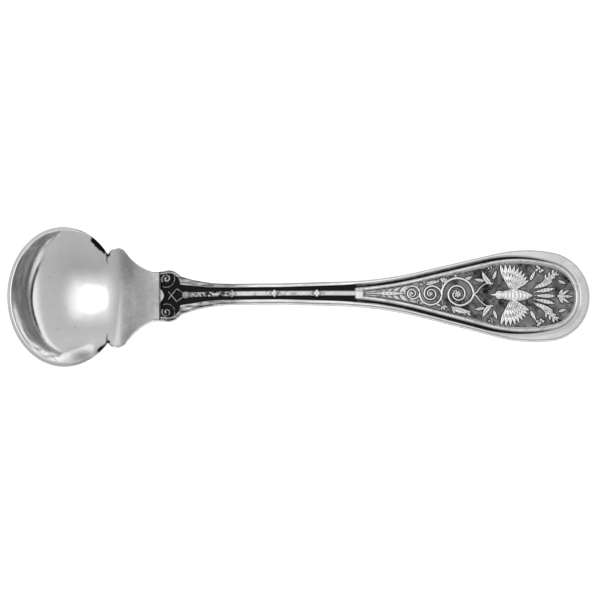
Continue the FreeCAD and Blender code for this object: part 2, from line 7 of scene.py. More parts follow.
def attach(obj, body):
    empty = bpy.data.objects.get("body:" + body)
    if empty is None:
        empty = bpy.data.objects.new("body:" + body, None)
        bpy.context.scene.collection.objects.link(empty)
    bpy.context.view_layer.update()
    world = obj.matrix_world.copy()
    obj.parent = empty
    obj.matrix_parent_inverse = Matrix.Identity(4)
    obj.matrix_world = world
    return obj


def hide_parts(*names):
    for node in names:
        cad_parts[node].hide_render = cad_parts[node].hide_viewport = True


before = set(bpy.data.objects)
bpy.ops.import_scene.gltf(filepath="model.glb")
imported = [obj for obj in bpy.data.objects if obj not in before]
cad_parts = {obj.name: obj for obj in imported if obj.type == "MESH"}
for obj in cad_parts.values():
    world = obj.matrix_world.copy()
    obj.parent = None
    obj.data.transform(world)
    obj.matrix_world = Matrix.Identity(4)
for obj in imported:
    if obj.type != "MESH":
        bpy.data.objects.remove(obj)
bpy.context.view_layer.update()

# The spoon's sizes, the same as the solid's, in millimetres and degrees
BOWL_LENGTH, BOWL_WIDTH, BOWL_DEPTH, BOWL_WALL = 18.2, 22.9, 4.9, 0.8
RIM_BAND, RIM_RISE, RIM_LEAN, HOLLOW_LEAN = 0.62, 0.15, 1.25, 0.24
TONGUE_FOOT, TONGUE_REACH = 0.3, 4.9
LOBE_REACH, LOBE_OFFSET, LOBE_RADIUS = 8.6, 6.4, 1.75
NECK_REACH, NECK_WIDTH, SHOULDER_RADIUS = 14.5, 7.92, 8.9
STEP_REACH, STEP_HEIGHT = 15.6, 0.12
HEEL_LENGTH, HEEL_WIDTH, HEEL_DROP = 4.2, 5.4, 0.25
HEAD_REACH, HEAD_WIDTH, HEAD_RADIUS, WAIST_RADIUS = 1.4, 8.28, 2.5, 25.5
STEM_START, STEM_WIDTH, STEM_LENGTH, STEM_TAPER = 11.8, 3.32, 8.0, 1.7
FLARE_RADIUS, FLARE_ANGLE, HANDLE_WIDTH = 63.0, 14.0, 15.0
SIDE_RADIUS, END_RADIUS, END_REACH = 24.0, 7.33, 70.3
NECK_HEIGHT, NECK_THICKNESS = 6.7, 2.3
CROWN_REACH, CROWN_HEIGHT, CROWN_THICKNESS = 17.8, 9.3, 2.5
END_THICKNESS, EDGE_BEVEL = 1.75, 0.42
GROUND_DEPTH, RAIL_WIDTH, GROUND_FRONT, RAIL_SWELL = 0.5, 0.52, 0.14, 36.0
BORDER_WIDTH, BORDER_END = 0.85, 1.4
FRAME_REACH, FRAME_BLOCK, FRAME_WIDTH, FRAME_INSET = 31.8, 1.35, 0.54, 1.5
FRAME_STEM_INSET, FRAME_END_INSET, FRAME_DROP, PANEL_DEPTH = 1.2, 1.83, 0.08, 0.42
RIB_WIDTH, BEAD_REACH, BEAD_PITCH, BEAD_LENGTH, BEAD_WIDTH = 0.85, 7.4, 6.87, 1.4, 1.7
LATTICE_REACH, LATTICE_LENGTH, LATTICE_WIDTH = 1.5, 2.9, 2.1
SCROLL_REACH, SCROLL_OFFSET, SCROLL_RADIUS = 1.12, 2.73, 0.74
VINE_REACH, VINE_WIDTH, SWING_RADIUS, SWING_GROWTH = 6.6, 0.36, 1.24, 1.45
BUD_LENGTH, BUD_WIDTH = 4.8, 0.72
BIRD_REACH, BIRD_LENGTH, BIRD_WIDTH, WING_LENGTH = 12.2, 6.0, 2.2, 4.1
FULLNESS, BLEND, TONGUE_DISH, NECK_FLAT, FRONT_RISE, FOOT_BEND = 0.3, 1.6, 0.045, 0.85, 0.05, 0.06

X_TIP = -(BOWL_LENGTH / 2 + STEP_REACH + END_REACH) / 2
X_BOWL = X_TIP + BOWL_LENGTH / 2
X_NECK, X_STEP = X_BOWL + NECK_REACH, X_BOWL + STEP_REACH
X_STEM = X_STEP + STEM_START
X_TAPER = X_STEM + STEM_LENGTH
X_CROWN, X_END = X_STEP + CROWN_REACH, X_STEP + END_REACH
X_FRAME = X_STEP + FRAME_REACH
X_PANEL = X_FRAME + FRAME_BLOCK
FOOT_X = X_BOWL + TONGUE_REACH
FOOT_HEIGHT = BOWL_WALL + TONGUE_FOOT
RUN = X_STEP - FOOT_X


def smooth(t):
    """A soft step from 0 to 1."""
    t = np.clip(t, 0, 1)
    return t * t * (3 - 2 * t)


def rise(value, start, run):
    """A soft step that begins at the start and is done after the run."""
    return smooth((value - start) / run)


def fall(value, start, run):
    return 1 - rise(value, start, run)


def peak(value, width, power=2):
    """A soft peak of 1 where the value is 0."""
    return np.exp(-(np.abs(value) / width) ** power)


def soft_min(a, b, width):
    """The lower of two heights, rounded where they meet."""
    share = np.clip(width - np.abs(a - b), 0, None) / width
    return np.minimum(a, b) - share ** 2 * width / 4


# The bowl and stem, as heights above the table

def bow(crown_z, foot_z, x_foot):
    """Radius of the arc that leaves the crown level and passes a foot."""
    drop, run = crown_z - foot_z, x_foot - X_CROWN
    return (run ** 2 + drop ** 2) / (2 * drop)


NEAR_BOW = bow(CROWN_HEIGHT, NECK_HEIGHT + STEP_HEIGHT, X_STEP)
FAR_BOW = bow(CROWN_HEIGHT, END_THICKNESS, X_END)
LOW_CROWN = CROWN_HEIGHT - CROWN_THICKNESS
LOW_NEAR_BOW = bow(LOW_CROWN, NECK_HEIGHT - NECK_THICKNESS, X_STEP)
LOW_FAR_BOW = bow(LOW_CROWN, 0, X_END - EDGE_BEVEL)
SLOPE = math.tan(math.asin((X_CROWN - X_STEP) / bow(CROWN_HEIGHT, NECK_HEIGHT, X_STEP)))


def bowed(x, crown_z, near, far):
    """A line of two arcs that meet level at the crown."""
    radius = np.where(x < X_CROWN, near, far)
    return crown_z - radius + np.sqrt(radius ** 2 - (x - X_CROWN) ** 2)


def stem_top(x):
    return bowed(x, CROWN_HEIGHT, NEAR_BOW, FAR_BOW)


def spread_at(x, y):
    """How far out a point lies: 1 on the inner edge of the rim's band."""
    return np.hypot((x - X_BOWL) / (BOWL_LENGTH / 2 - RIM_BAND), y / (BOWL_WIDTH / 2 - RIM_BAND))


def hollow(x, y, rim_height):
    """The oval dish, deepest behind its middle, going on straight past its rim."""
    spread = spread_at(x, y)
    rim, lean = rim_height - RIM_RISE * (x - X_BOWL), HOLLOW_LEAN * (x - X_BOWL)
    inner = rim - (BOWL_DEPTH * (1 + FULLNESS * spread ** 2) + lean) * (1 - spread ** 2)
    outer = rim + 2 * (BOWL_DEPTH * (1 + FULLNESS) + lean) * (spread - 1)
    return np.where(spread > 1, outer, inner)


def tongue(x, y):
    """The dished slope that climbs to the neck."""
    step = (x - FOOT_X) / RUN
    side = TONGUE_DISH * y ** 2 * (1 - NECK_FLAT * np.clip(step, 0, 1) ** 2)
    climb = (NECK_HEIGHT - FOOT_HEIGHT) * step ** 3 * (10 - 15 * step + 6 * step ** 2)
    climb += SLOPE * RUN * step ** 3 * (7 * step - 3 * step ** 2 - 4)
    climb += FOOT_BEND * RUN ** 2 * step ** 2 * (1 - step) ** 3 / 2
    front = FOOT_HEIGHT + FRONT_RISE * (x - FOOT_X) ** 2
    return side + np.where(
        step < 0, front,
        np.where(step > 1, NECK_HEIGHT + SLOPE * (x - X_STEP), FOOT_HEIGHT + climb))


def bowl_top(x, y):
    return soft_min(hollow(x, y, RIM_HEIGHT), tongue(x, y), BLEND)


RIM_HEIGHT = BOWL_DEPTH + BOWL_WALL
axis_x = np.linspace(X_BOWL, X_BOWL + BOWL_LENGTH / 2 - RIM_BAND, 401)
for _ in range(12):
    RIM_HEIGHT += BOWL_WALL - bowl_top(axis_x, 0 * axis_x).min()


def bowl_normal(x, y):
    near = 0.01
    slope_x = (bowl_top(x + near, y) - bowl_top(x - near, y)) / (2 * near)
    slope_y = (bowl_top(x, y + near) - bowl_top(x, y - near)) / (2 * near)
    length = np.sqrt(slope_x ** 2 + slope_y ** 2 + 1)
    return -slope_x / length, -slope_y / length, 1 / length


def wall_at(x):
    neck_wall = NECK_THICKNESS - 2 * STEP_HEIGHT
    return BOWL_WALL + (neck_wall - BOWL_WALL) * rise(x, FOOT_X, RUN)


def bowl_bottom(x, y):
    """The underside: the upper face moved down by the wall, square to that face."""
    px, py = x.copy(), y.copy()
    for _ in range(14):
        nx, ny, nz = bowl_normal(px, py)
        wall = wall_at(px)
        px += 0.7 * (x + nx * wall - px)
        py += 0.7 * (y + ny * wall - py)
    return bowl_top(px, py) - nz * wall


# Outlines in the plan, as closely spaced points along their upper sides

def turned(centre, radius, angles):
    return np.stack([centre[0] + radius * np.cos(angles), centre[1] + radius * np.sin(angles)], 1)


def arc(centre, radius, start, stop, count=90):
    angles = np.radians(np.linspace(start, stop, count))
    return turned(centre, radius, angles)


def along(point, degrees, distance):
    angle = math.radians(degrees)
    return (point[0] + distance * math.cos(angle), point[1] + distance * math.sin(angle))


def heading(start, end):
    return math.degrees(math.atan2(end[1] - start[1], end[0] - start[0]))


def circles_meet(first, first_radius, second, second_radius, left):
    span = math.dist(first, second)
    reach = (first_radius ** 2 - second_radius ** 2 + span ** 2) / (2 * span)
    height = math.sqrt(first_radius ** 2 - reach ** 2)
    degrees = heading(first, second)
    return along(along(first, degrees, reach), degrees + (90 if left else -90), height)


def handle_side(stem_half, broad_half, side_radius, end_radius, end_x, start_x):
    """The handle's upper side: taper, hollow flare, straight, full side and round end."""
    end_centre = (end_x - end_radius, 0)
    lean = math.degrees(math.acos((side_radius - broad_half) / (side_radius - end_radius)))
    side_centre = along(end_centre, 270 - lean, side_radius - end_radius)
    widest = along(side_centre, 90 + FLARE_ANGLE, side_radius)
    taper, flare = math.tan(math.radians(STEM_TAPER)), math.tan(math.radians(FLARE_ANGLE))
    corner_x = (stem_half - taper * X_TAPER - widest[1] + flare * widest[0]) / (flare - taper)
    corner = (corner_x, stem_half + taper * (corner_x - X_TAPER))
    tangent = FLARE_RADIUS * math.tan(math.radians(FLARE_ANGLE - STEM_TAPER) / 2)
    flare_start = along(corner, 180 + STEM_TAPER, tangent)
    centre = along(flare_start, 90 + STEM_TAPER, FLARE_RADIUS)
    begin = np.array([[start_x, stem_half + taper * (start_x - X_TAPER)]])
    path = np.concatenate([
        begin,
        arc(centre, FLARE_RADIUS, 270 + STEM_TAPER, 270 + FLARE_ANGLE),
        arc(side_centre, side_radius, 90 + FLARE_ANGLE, 90 - lean),
        arc(end_centre, end_radius, 90 - lean, 0)[1:],
    ])
    return path[np.concatenate([[True], path[1:, 0] > start_x])]


def stem_side(inset, front_inset, broad_inset, end_inset, waist_radius):
    """The carved part's upper side, from the bowl to the handle's end."""
    head_top, head_radius = HEAD_WIDTH / 2 - inset, HEAD_RADIUS - inset
    head_centre = (X_STEP + HEAD_REACH, head_top - head_radius)
    stem_half = STEM_WIDTH / 2 - inset
    waist_centre = (X_STEM, stem_half + waist_radius)
    join = circles_meet(head_centre, head_radius, waist_centre, waist_radius, False)
    handle = handle_side(
        stem_half, HANDLE_WIDTH / 2 - broad_inset, SIDE_RADIUS - broad_inset,
        END_RADIUS - end_inset, X_END - end_inset, X_TAPER)
    return np.concatenate([
        [[X_STEP + front_inset, NECK_WIDTH / 2 - inset]],
        arc(head_centre, head_radius, 90, heading(head_centre, join), 40),
        arc(waist_centre, waist_radius, heading(waist_centre, join), -90),
        handle,
    ])


def frame_side(extra, start_x):
    """The frame's upper side, at an extra inset from its outer edge."""
    inset, end_inset = FRAME_INSET + extra, FRAME_END_INSET + extra
    return handle_side(
        STEM_WIDTH / 2 - FRAME_STEM_INSET - extra, HANDLE_WIDTH / 2 - inset,
        SIDE_RADIUS - inset, END_RADIUS - end_inset, X_END - end_inset, start_x)


lobe_centre = (X_BOWL + LOBE_REACH, LOBE_OFFSET)
neck_corner = (X_NECK, NECK_WIDTH / 2)
shoulder_centre = circles_meet(
    lobe_centre, LOBE_RADIUS + SHOULDER_RADIUS, neck_corner, SHOULDER_RADIUS, True)


def oval(inset, count):
    angles = np.radians(np.linspace(180, 0, count))
    return np.stack([X_BOWL + (BOWL_LENGTH / 2 - inset) * np.cos(angles),
                     (BOWL_WIDTH / 2 - inset) * np.sin(angles)], 1)


ellipse, inner_ellipse = oval(0, 1441), oval(RIM_BAND, 721)
from_lobe = np.hypot(ellipse[:, 0] - lobe_centre[0], ellipse[:, 1] - lobe_centre[1])
notch_index = int(np.argmax((from_lobe < LOBE_RADIUS) & (ellipse[:, 0] > X_BOWL)))
notch = ellipse[notch_index]
lobe_arc = arc(lobe_centre, LOBE_RADIUS, heading(lobe_centre, notch),
               heading(lobe_centre, shoulder_centre), 60)
shoulder_arc = arc(shoulder_centre, SHOULDER_RADIUS,
                   heading(shoulder_centre, lobe_centre) % 360,
                   heading(shoulder_centre, neck_corner) % 360, 90)
stem_outline = stem_side(0, 0, 0, 0, WAIST_RADIUS)
ground_outline = stem_side(
    RAIL_WIDTH, GROUND_FRONT, BORDER_WIDTH, BORDER_END, WAIST_RADIUS + RAIL_SWELL)
frame_outline = frame_side(0, X_FRAME)
panel_outline = frame_side(FRAME_WIDTH, X_PANEL)


# The metal's mesh: columns that run from the outline to the axis, the same rows in each

def resample(path, count, closed_end=False):
    """Evenly spaced points along a path, the last left out unless asked for."""
    steps = np.concatenate([[0], np.cumsum(np.hypot(*np.diff(path, axis=0).T))])
    places = np.linspace(0, steps[-1], count + 1)
    places = places if closed_end else places[:-1]
    return np.stack([np.interp(places, steps, path[:, axis]) for axis in (0, 1)], 1)


def between(path, first, last):
    """The stretch of a path between two places along X."""
    ends = [[x, np.interp(x, path[:, 0], path[:, 1])] for x in (first, last)]
    inner = path[(path[:, 0] > first) & (path[:, 0] < last)]
    return np.concatenate([ends[:1], inner, ends[1:]])


CAP_X = 33.0  # from here to the end the columns fan out
X_HEAD_END = X_STEP + 6.0
BOWL_COLUMNS = 120
BOWL_FAN, CAP_FAN = 0.6, 0.62  # how far the columns' feet spread along the axis
outline = np.concatenate([
    resample(ellipse[:notch_index + 1], BOWL_COLUMNS),
    resample(lobe_arc, 26),
    resample(shoulder_arc, 44),
    resample(np.array([neck_corner, (X_STEP, NECK_WIDTH / 2)]), 10),
    resample(between(stem_outline, X_STEP, X_HEAD_END), 80),
    resample(between(stem_outline, X_HEAD_END, X_FRAME), 140),
    resample(between(stem_outline, X_FRAME, CAP_X), 170),
    resample(np.concatenate([
        [[CAP_X, np.interp(CAP_X, stem_outline[:, 0], stem_outline[:, 1])]],
        stem_outline[stem_outline[:, 0] > CAP_X]]), 130, True),
])
outline[0, 1] = outline[-1, 1] = 0
columns = len(outline)
spine = outline[:, 0].copy()
fan = spine < notch[0]
spine[fan] = notch[0] - (notch[0] - spine[fan]) * BOWL_FAN
cap = spine > CAP_X
spine[cap] = CAP_X + (spine[cap] - CAP_X) * CAP_FAN
spine = np.stack([spine, 0 * spine], 1)
reach = np.hypot(*(outline - spine).T)


def crossing(path):
    """How far from the outline each column meets a path, or minus infinity."""
    closed_path = np.concatenate([path, [[path[-1, 0], 0]]])
    start, step = closed_path[:-1][None], np.diff(closed_path, axis=0)[None]
    ray = (outline - spine)[:, None]
    gap = start - spine[:, None]
    cross = ray[..., 0] * step[..., 1] - ray[..., 1] * step[..., 0]
    cross = np.where(np.abs(cross) < 1e-12, 1e-12, cross)
    on_ray = (gap[..., 0] * step[..., 1] - gap[..., 1] * step[..., 0]) / cross
    on_step = (gap[..., 0] * ray[..., 1] - gap[..., 1] * ray[..., 0]) / cross
    hit = (on_step >= -1e-9) & (on_step <= 1 + 1e-9) & (on_ray > 0) & (on_ray <= 1.2)
    return reach * (1 - np.where(hit, on_ray, -np.inf).max(axis=1))


def crossing_or(path, other):
    """The same, with another value where a column misses the path."""
    value = crossing(path)
    return np.where(np.isfinite(value) & (value < reach) & (value > 0), value, other)


# The far wall's streaks are a painted reflection of the bowl's opposite wall
STREAK_X, STREAK_CURVE = -43.75, 0.0453  # where the streaks on the bowl's far wall end


def streak_end(y):
    return STREAK_X + STREAK_CURVE * y ** 2


# Each column's marks: rounded edge, rim or ground, frame, streaks or panel
x_out = outline[:, 0]
in_bowl, in_head = x_out <= X_STEP, x_out < X_HEAD_END
in_ellipse = np.arange(columns) < BOWL_COLUMNS
streak_y = np.linspace(11.4, 0, 60)
streak_cross = crossing_or(np.stack([streak_end(streak_y), streak_y], 1), 2.4)
rim_cross = crossing_or(inner_ellipse, RIM_BAND)
ground_cross = crossing_or(ground_outline, RAIL_WIDTH)
first = np.where(in_bowl, 0.2, 0.4)
second = np.where(in_ellipse, rim_cross, np.where(in_bowl, 0.45, ground_cross))
third = np.where(in_bowl, 1.2, np.where(in_head, 0.9, crossing_or(frame_outline, 0.8)))
fourth = np.where(in_head, 1.4, crossing_or(panel_outline, 1.05))
fourth = np.where(in_bowl, np.clip(streak_cross, 1.6, None), fourth)
marks = np.stack([0 * reach, first, second, third, fourth, reach], 1)
marks = np.maximum.accumulate(marks + np.arange(6) * 1e-4, axis=1)
marks = np.minimum(marks, reach[:, None] - (5 - np.arange(6)) * 1e-4)
marks[1:-1] = (marks[:-2] + 2 * marks[1:-1] + marks[2:]) / 4
marks[in_ellipse, 2] = rim_cross[in_ellipse]


def rows(counts):
    """Each column's row distances from the outline, with set numbers between the marks."""
    parts = []
    for group, count in enumerate(counts):
        share = np.arange(count) / count
        if group == 0:
            share = share ** 1.6
        low, high = marks[:, group, None], marks[:, group + 1, None]
        parts.append(low + (high - low) * share)
    return np.concatenate(parts + [reach[:, None]], axis=1)


def lay(distances):
    """The points at the given distances along each column."""
    share = (distances / reach[:, None])[..., None]
    points = outline[:, None] * (1 - share) + spine[:, None] * share
    return points[..., 0], points[..., 1]


top_rows = rows((7, 4, 7, 7, 22))
top_x, top_y = lay(top_rows)
low_x, low_y = lay(rows((4, 1, 1, 2, 5)))


def gap_to(path, x, y):
    """The distance from each point to a path."""
    points = np.stack([x.ravel(), y.ravel()], 1)
    start, step = path[:-1], np.diff(path, axis=0)
    square = np.maximum((step ** 2).sum(1), 1e-12)
    best = np.full(len(points), 1e9)
    for index in range(0, len(points), 6000):
        offset = points[index:index + 6000, None] - start[None]
        share = np.clip((offset * step).sum(2) / square, 0, 1)
        best[index:index + 6000] = np.sqrt(((offset - share[..., None] * step) ** 2).sum(2).min(1))
    return best.reshape(x.shape)


def depth_in(path, x, y, distances):
    """Signed distance inside a path, for the columns' points."""
    closed_path = np.concatenate([[[path[0, 0], 0]], path, [[path[-1, 0], 0]]])
    gap = gap_to(closed_path, x, y)
    return np.where(distances > crossing_or(path, 1e3)[:, None], gap, -gap)


whole = np.concatenate([ellipse[:notch_index:8], [notch], lobe_arc, shoulder_arc, [neck_corner],
                        stem_outline])


def edge_round(inside, radius):
    """How far a rounded edge has dropped at each distance inside the outline."""
    left = np.clip(radius - inside, 0, radius)
    return radius - np.sqrt(radius ** 2 - left ** 2)


EDGE_ROUND, STEM_EDGE_ROUND = 0.26, 0.32
RIM_SOFT = 0.16


def top_height(x, y):
    """The upper side without its carving: bowl, rim, shoulders, stem and handle."""
    edge = gap_to(whole, x, y)
    past = rise(x, X_STEP - 0.06, 0.18)
    height = bowl_top(x, y) * (1 - past) + stem_top(x) * past
    out = gap_to(inner_ellipse[::4], x, y) * np.where(spread_at(x, y) > 1, 1, -1)
    cone = RIM_HEIGHT - RIM_RISE * (x - X_BOWL) - out / RIM_LEAN
    rim = soft_min(height, cone, RIM_SOFT)
    in_lobe = np.hypot(x - lobe_centre[0], y - lobe_centre[1]) - LOBE_RADIUS
    behind = np.where(x > lobe_centre[0], -1.0, in_lobe)
    mask = rise(behind, -0.15, 0.3) * (x < X_NECK)
    height = height * (1 - mask) + rim * mask
    radius = EDGE_ROUND + (STEM_EDGE_ROUND - EDGE_ROUND) * rise(x, X_NECK, 1.2)
    return height - (1 - mask) * edge_round(edge, radius), edge


top_base, top_edge = top_height(top_x, top_y)


def both(upper, sign=1):
    """The whole width's rows from the upper half's."""
    return np.concatenate([upper, sign * upper[:, -2::-1]], axis=1)


full_x, full_y, edge_in = both(top_x), both(top_y, -1), both(top_edge)
ground_in, frame_in, panel_in = (
    both(depth_in(path, top_x, top_y, top_rows))
    for path in (ground_outline, frame_outline, panel_outline))


def noise(x, y, scale, seed):
    """Soft blotches of about the given size, from 0 to 1."""
    table = np.random.default_rng(seed).random((256, 256))
    u, v = x / scale + 100, y / scale + 100
    i, j = np.floor(u).astype(int), np.floor(v).astype(int)
    s, t = smooth(u - i), smooth(v - j)
    corners = [table[(i + a) % 256, (j + b) % 256] for a, b in ((0, 0), (1, 0), (0, 1), (1, 1))]
    return ((corners[0] * (1 - s) + corners[1] * s) * (1 - t)
            + (corners[2] * (1 - s) + corners[3] * s) * t)


# The metal's heights: sunk ground, frame and border; the carving lies in pieces of its own
HIDDEN = 0.05  # how far the metal lies below the carved pieces
RING_SPREAD = 0.05  # how far the frame's foot reaches out on each side
BOSS_BACK, BOSS_RADIUS = 0.5, 1.2  # the round end that the neck puts into the stem's ground
FLOOR_X, FLOOR_Y, FLOOR_LIFT, FLOOR_SPREAD = -33.9, 0.1, 0.2, 2.0  # the bowl's floor is worn flat
PITS = ((-16.1, -1.35, 0.16), (19.4, -2.9, 0.15), (24.3, -4.15, 0.17), (30.2, 5.2, 0.12),
        (15.1, 3.0, 0.1))
PIT_DEPTH = 0.08
wall_run = 0.16 + 0.3 * rise(full_x, X_FRAME, 4)
wall_in = 0.14 * rise(full_x, X_STEP + 4, 4) - 0.02
floor_depth = GROUND_DEPTH + HIDDEN * fall(full_x, X_FRAME - 0.1, 0.3)
floor_depth = floor_depth * rise(ground_in, wall_in, wall_run)
bulge = np.hypot(full_x - (X_STEP - BOSS_BACK), full_y) - BOSS_RADIUS
floor_depth = floor_depth * np.where(full_x < X_STEP + 2, rise(bulge, 0, 0.16), 1)
in_panel = rise(panel_in, -0.03, 0.13)
ring = np.clip(frame_in + RING_SPREAD, 0, None) * np.clip(RING_SPREAD - panel_in, 0, None)
ring = np.clip(ring / (FRAME_WIDTH / 2 + RING_SPREAD) ** 2, 0, 1) ** 0.28
sunk = floor_depth * (1 - in_panel) + (PANEL_DEPTH + HIDDEN) * in_panel
ring_lift = ring * np.clip(sunk - FRAME_DROP, 0, None)
flat = ((full_x - FLOOR_X) ** 2 + (full_y - FLOOR_Y) ** 2) / (2 * FLOOR_SPREAD ** 2)
worn_down = 0.03 * noise(full_x, full_y, 1.4, 5) * (full_x > X_STEP)
pit = np.max([peak(np.hypot(full_x - x, full_y - y), radius) for x, y, radius in PITS], axis=0)
top_z = both(top_base) + FLOOR_LIFT * np.exp(-flat) - sunk + ring_lift - worn_down - PIT_DEPTH * pit

# Tarnish and painted shade on the metal, from 0 to 1: almost black in the grooves beside the frame
# and the rib, with painted shade on the lower side of the handle's groove
mottle = 0.6 * noise(full_x, full_y, 0.4, 11) + 0.4 * noise(full_x, full_y, 1.2, 12)
streak = 0.5 * noise(full_x, full_y * 9, 2.2, 13) + 0.5 * noise(full_x, full_y * 5, 0.9, 14)
deep = rise(sunk - ring_lift, 0.1, 0.26)
# Painted shade: the handle's lower side (towards -y) is darker, as if lit from its upper side
shaded_lower_side = rise(-full_y, 0.6, 2.0) * (full_x > X_FRAME)
beside_frame = fall(-frame_in - 0.12 * mottle, 0.24, 0.2)
groove_patina_and_shade = np.clip(0.25 + 0.35 * shaded_lower_side + 0.5 * (streak - 0.5), 0, 1)
groove_patina_and_shade = np.where(full_x < X_FRAME, 0.97, np.maximum(beside_frame, groove_patina_and_shade))
channel = deep * groove_patina_and_shade * (panel_in <= 0.02)

# A haze on the rails, strong near the bowl, with painted shade on their lower side; painted shade
# on the outer edge; a haze on the frame; and on the neck a haze with a painted dark band
on_rail = (full_x > X_STEP - 0.05) * fall(ground_in, wall_in - 0.02, 0.1)
rail_haze_and_painted_shade = (0.5 + 0.85 * (streak - 0.45)) * (1 - 0.6 * rise(full_x, -14, 7)) + 0.16
rail_haze_and_painted_shade = rail_haze_and_painted_shade * (1 - 0.62 * rise(full_x, 2, 12))
# Painted shade on the rails and border along the handle's lower side
painted_lower_side_shade = 0.3 * shaded_lower_side * rise(ground_in, -0.6, 0.4)
rail_haze_and_painted_shade = on_rail * np.clip(np.maximum(rail_haze_and_painted_shade, painted_lower_side_shade), 0, 1)
# Painted shade: a thin dark line along the outer edge, which keeps it apart from the white floor's
# reflection
painted_edge_shade = (0.3 + 0.3 * (streak - 0.5)) * fall(edge_in, 0.03, 0.14) * (full_x > -30)
block = (full_x > X_FRAME - 0.2) * fall(full_x, X_PANEL - 0.2, 0.8)
frame_haze = (0.08 + 0.26 * block + 0.2 * rise(mottle, 0.5, 0.3)) * (ring > 0) * (1 - deep)
# Haze on the neck, with painted shade: the tongue is darker from x = -31.5 on, most in a band at x
# = -28.2, in place of a darker reflection there
neck_haze_and_painted_band = 0.34 * rise(full_x, -31.5, 3.5) + 0.2 * peak(full_x + 28.2, 1.25, 4)
neck_haze_and_painted_band = (neck_haze_and_painted_band + 0.16 * rise(full_x, -25, 2)) * (0.85 + 0.3 * mottle)
neck_haze_and_painted_band = neck_haze_and_painted_band * (full_x < X_STEP + 1.5) * (ground_in < 0.3 + 3 * (bulge < 0.05))

# Black lines at the step, round the neck's end and in the pits
step_line = peak(full_x - X_STEP - 0.05, 0.22) * (np.abs(full_y) < 4.0)
step_line = step_line * rise(bulge, 1.0 - BOSS_RADIUS, 0.4)
bulge_line = peak(bulge - 0.1, 0.1) * (full_x > X_STEP - 0.1) * (full_x < X_STEP + 1.5)
tarnish_and_painted_light = np.maximum.reduce([channel, rail_haze_and_painted_shade, frame_haze, painted_edge_shade, neck_haze_and_painted_band,
                             0.95 * step_line, 0.9 * bulge_line, 0.9 * pit])

# Black creases behind the lobes, and a blot beside each
for side in (1, -1):
    from_notch = np.hypot(full_x - notch[0], full_y - notch[1] * side)
    crease = np.hypot(full_x - lobe_centre[0], full_y - lobe_centre[1] * side) - LOBE_RADIUS
    crease = peak(crease, 0.13) * fall(from_notch, 0.4, 1.5) * (full_x < lobe_centre[0])
    tarnish_and_painted_light = np.maximum(tarnish_and_painted_light, 0.98 * np.maximum(crease, fall(from_notch, 0.2, 0.35)))
for blot_x, blot_y, lean, long, amount in ((-32.75, 8.7, -42, 1.6, 1.0),
                                           (-32.1, -8.4, 42, 0.9, 0.95)):
    turn = math.radians(lean)
    blot_u = (full_x - blot_x) * math.cos(turn) + (full_y - blot_y) * math.sin(turn)
    blot_v = (full_y - blot_y) * math.cos(turn) - (full_x - blot_x) * math.sin(turn)
    blot = peak(blot_u, long, 4) * peak(blot_v, 0.6, 4)
    tarnish_and_painted_light = np.maximum(tarnish_and_painted_light, amount * rise(blot + 0.8 * (mottle - 0.5), 0.25, 0.3))

# Painted reflection: the bowl's far wall has dark streaks up to a black line, painted in place of
# the opposite wall's reflection; its near wall has a dark patch
past_line = streak_end(full_y) - full_x
painted_far_wall_reflection = (0.6 * noise(past_line * 5, full_y * 0.5, 1.3, 15)
            + 0.4 * noise(past_line * 9, full_y, 1.4, 16))
painted_far_wall_reflection = np.clip(0.22 + 1.1 * (painted_far_wall_reflection - 0.5), 0.04, 0.8)
painted_far_wall_reflection = painted_far_wall_reflection * rise(past_line, 0, 0.5) * (full_x < -37.5) * (edge_in > RIM_BAND)
# Painted reflection: the black line where the far wall's reflection ends
painted_wall_line_reflection = 0.97 * peak(past_line, 0.24, 4) * fall(np.abs(full_y), 4, 4) * (0.8 + 0.25 * mottle)
near_wall = 0.6 * peak(full_x + 35.2, 2.8) * peak(full_y + 9.6, 1.5)
tarnish_and_painted_light = np.maximum.reduce([tarnish_and_painted_light, painted_far_wall_reflection, painted_wall_line_reflection, near_wall])

# Fine scratches on the tongue, and dark specks on the rails behind the stem's head
for number in range(7):
    line_x, line_y = -27.3 + 0.35 * number, -2.3 - 0.28 * ((number * 3) % 5)
    fine_line = peak(full_y - line_y - 0.22 * (full_x - line_x), 0.06)
    tarnish_and_painted_light = np.maximum(tarnish_and_painted_light, 0.5 * fine_line * (np.abs(full_x - line_x) < 0.55))
speckle = rise(noise(full_x, full_y, 0.28, 21), 0.62, 0.2) * peak(full_x + 14.2, 2.2)
tarnish_and_painted_light = np.clip(np.maximum(tarnish_and_painted_light, 0.8 * speckle * on_rail), 0, 1)

# Underside
low_edge = gap_to(whole, low_x, low_y)
past = rise(low_x, X_STEP - 1.4, 1.6)
under_stem = bowed(low_x, LOW_CROWN, LOW_NEAR_BOW, LOW_FAR_BOW)
low_z = bowl_bottom(low_x, low_y) * (1 - past) + under_stem * past
heel_x = X_STEP - HEEL_LENGTH
heel_gap = np.where(low_x < heel_x, np.hypot(low_x - heel_x, low_y), np.abs(low_y))
low_z -= HEEL_DROP * rise(HEEL_WIDTH / 2 - heel_gap, 0, 0.6) * fall(low_x, X_STEP - 0.6, 0.9)
low_z += edge_round(low_edge, EDGE_BEVEL) * rise(low_x, X_NECK, 1.0)
low_z[:, 0] = np.minimum(low_z[:, 0], top_base[:, 0] - 0.06)
low_full_x, low_full_y, low_full_z = both(low_x), both(low_y, -1), both(np.clip(low_z, 0, None))


def numbered(count, start):
    """Vertex numbers of a folded grid: its end columns lie on the axis and meet themselves."""
    numbers = np.arange(columns * count).reshape(columns, count)
    for column in (0, columns - 1):
        numbers[column, count // 2 + 1:] = numbers[column, :count // 2][::-1]
    used, compact = np.unique(numbers, return_inverse=True)
    return used, compact.reshape(columns, count) + start


def quads(numbers, flip):
    """The four-sided faces of a grid of vertex numbers."""
    corners = [numbers[:-1, :-1], numbers[1:, :-1], numbers[1:, 1:], numbers[:-1, 1:]]
    corners = corners[::-1] if flip else corners
    return np.stack(corners, -1).reshape(-1, 4)


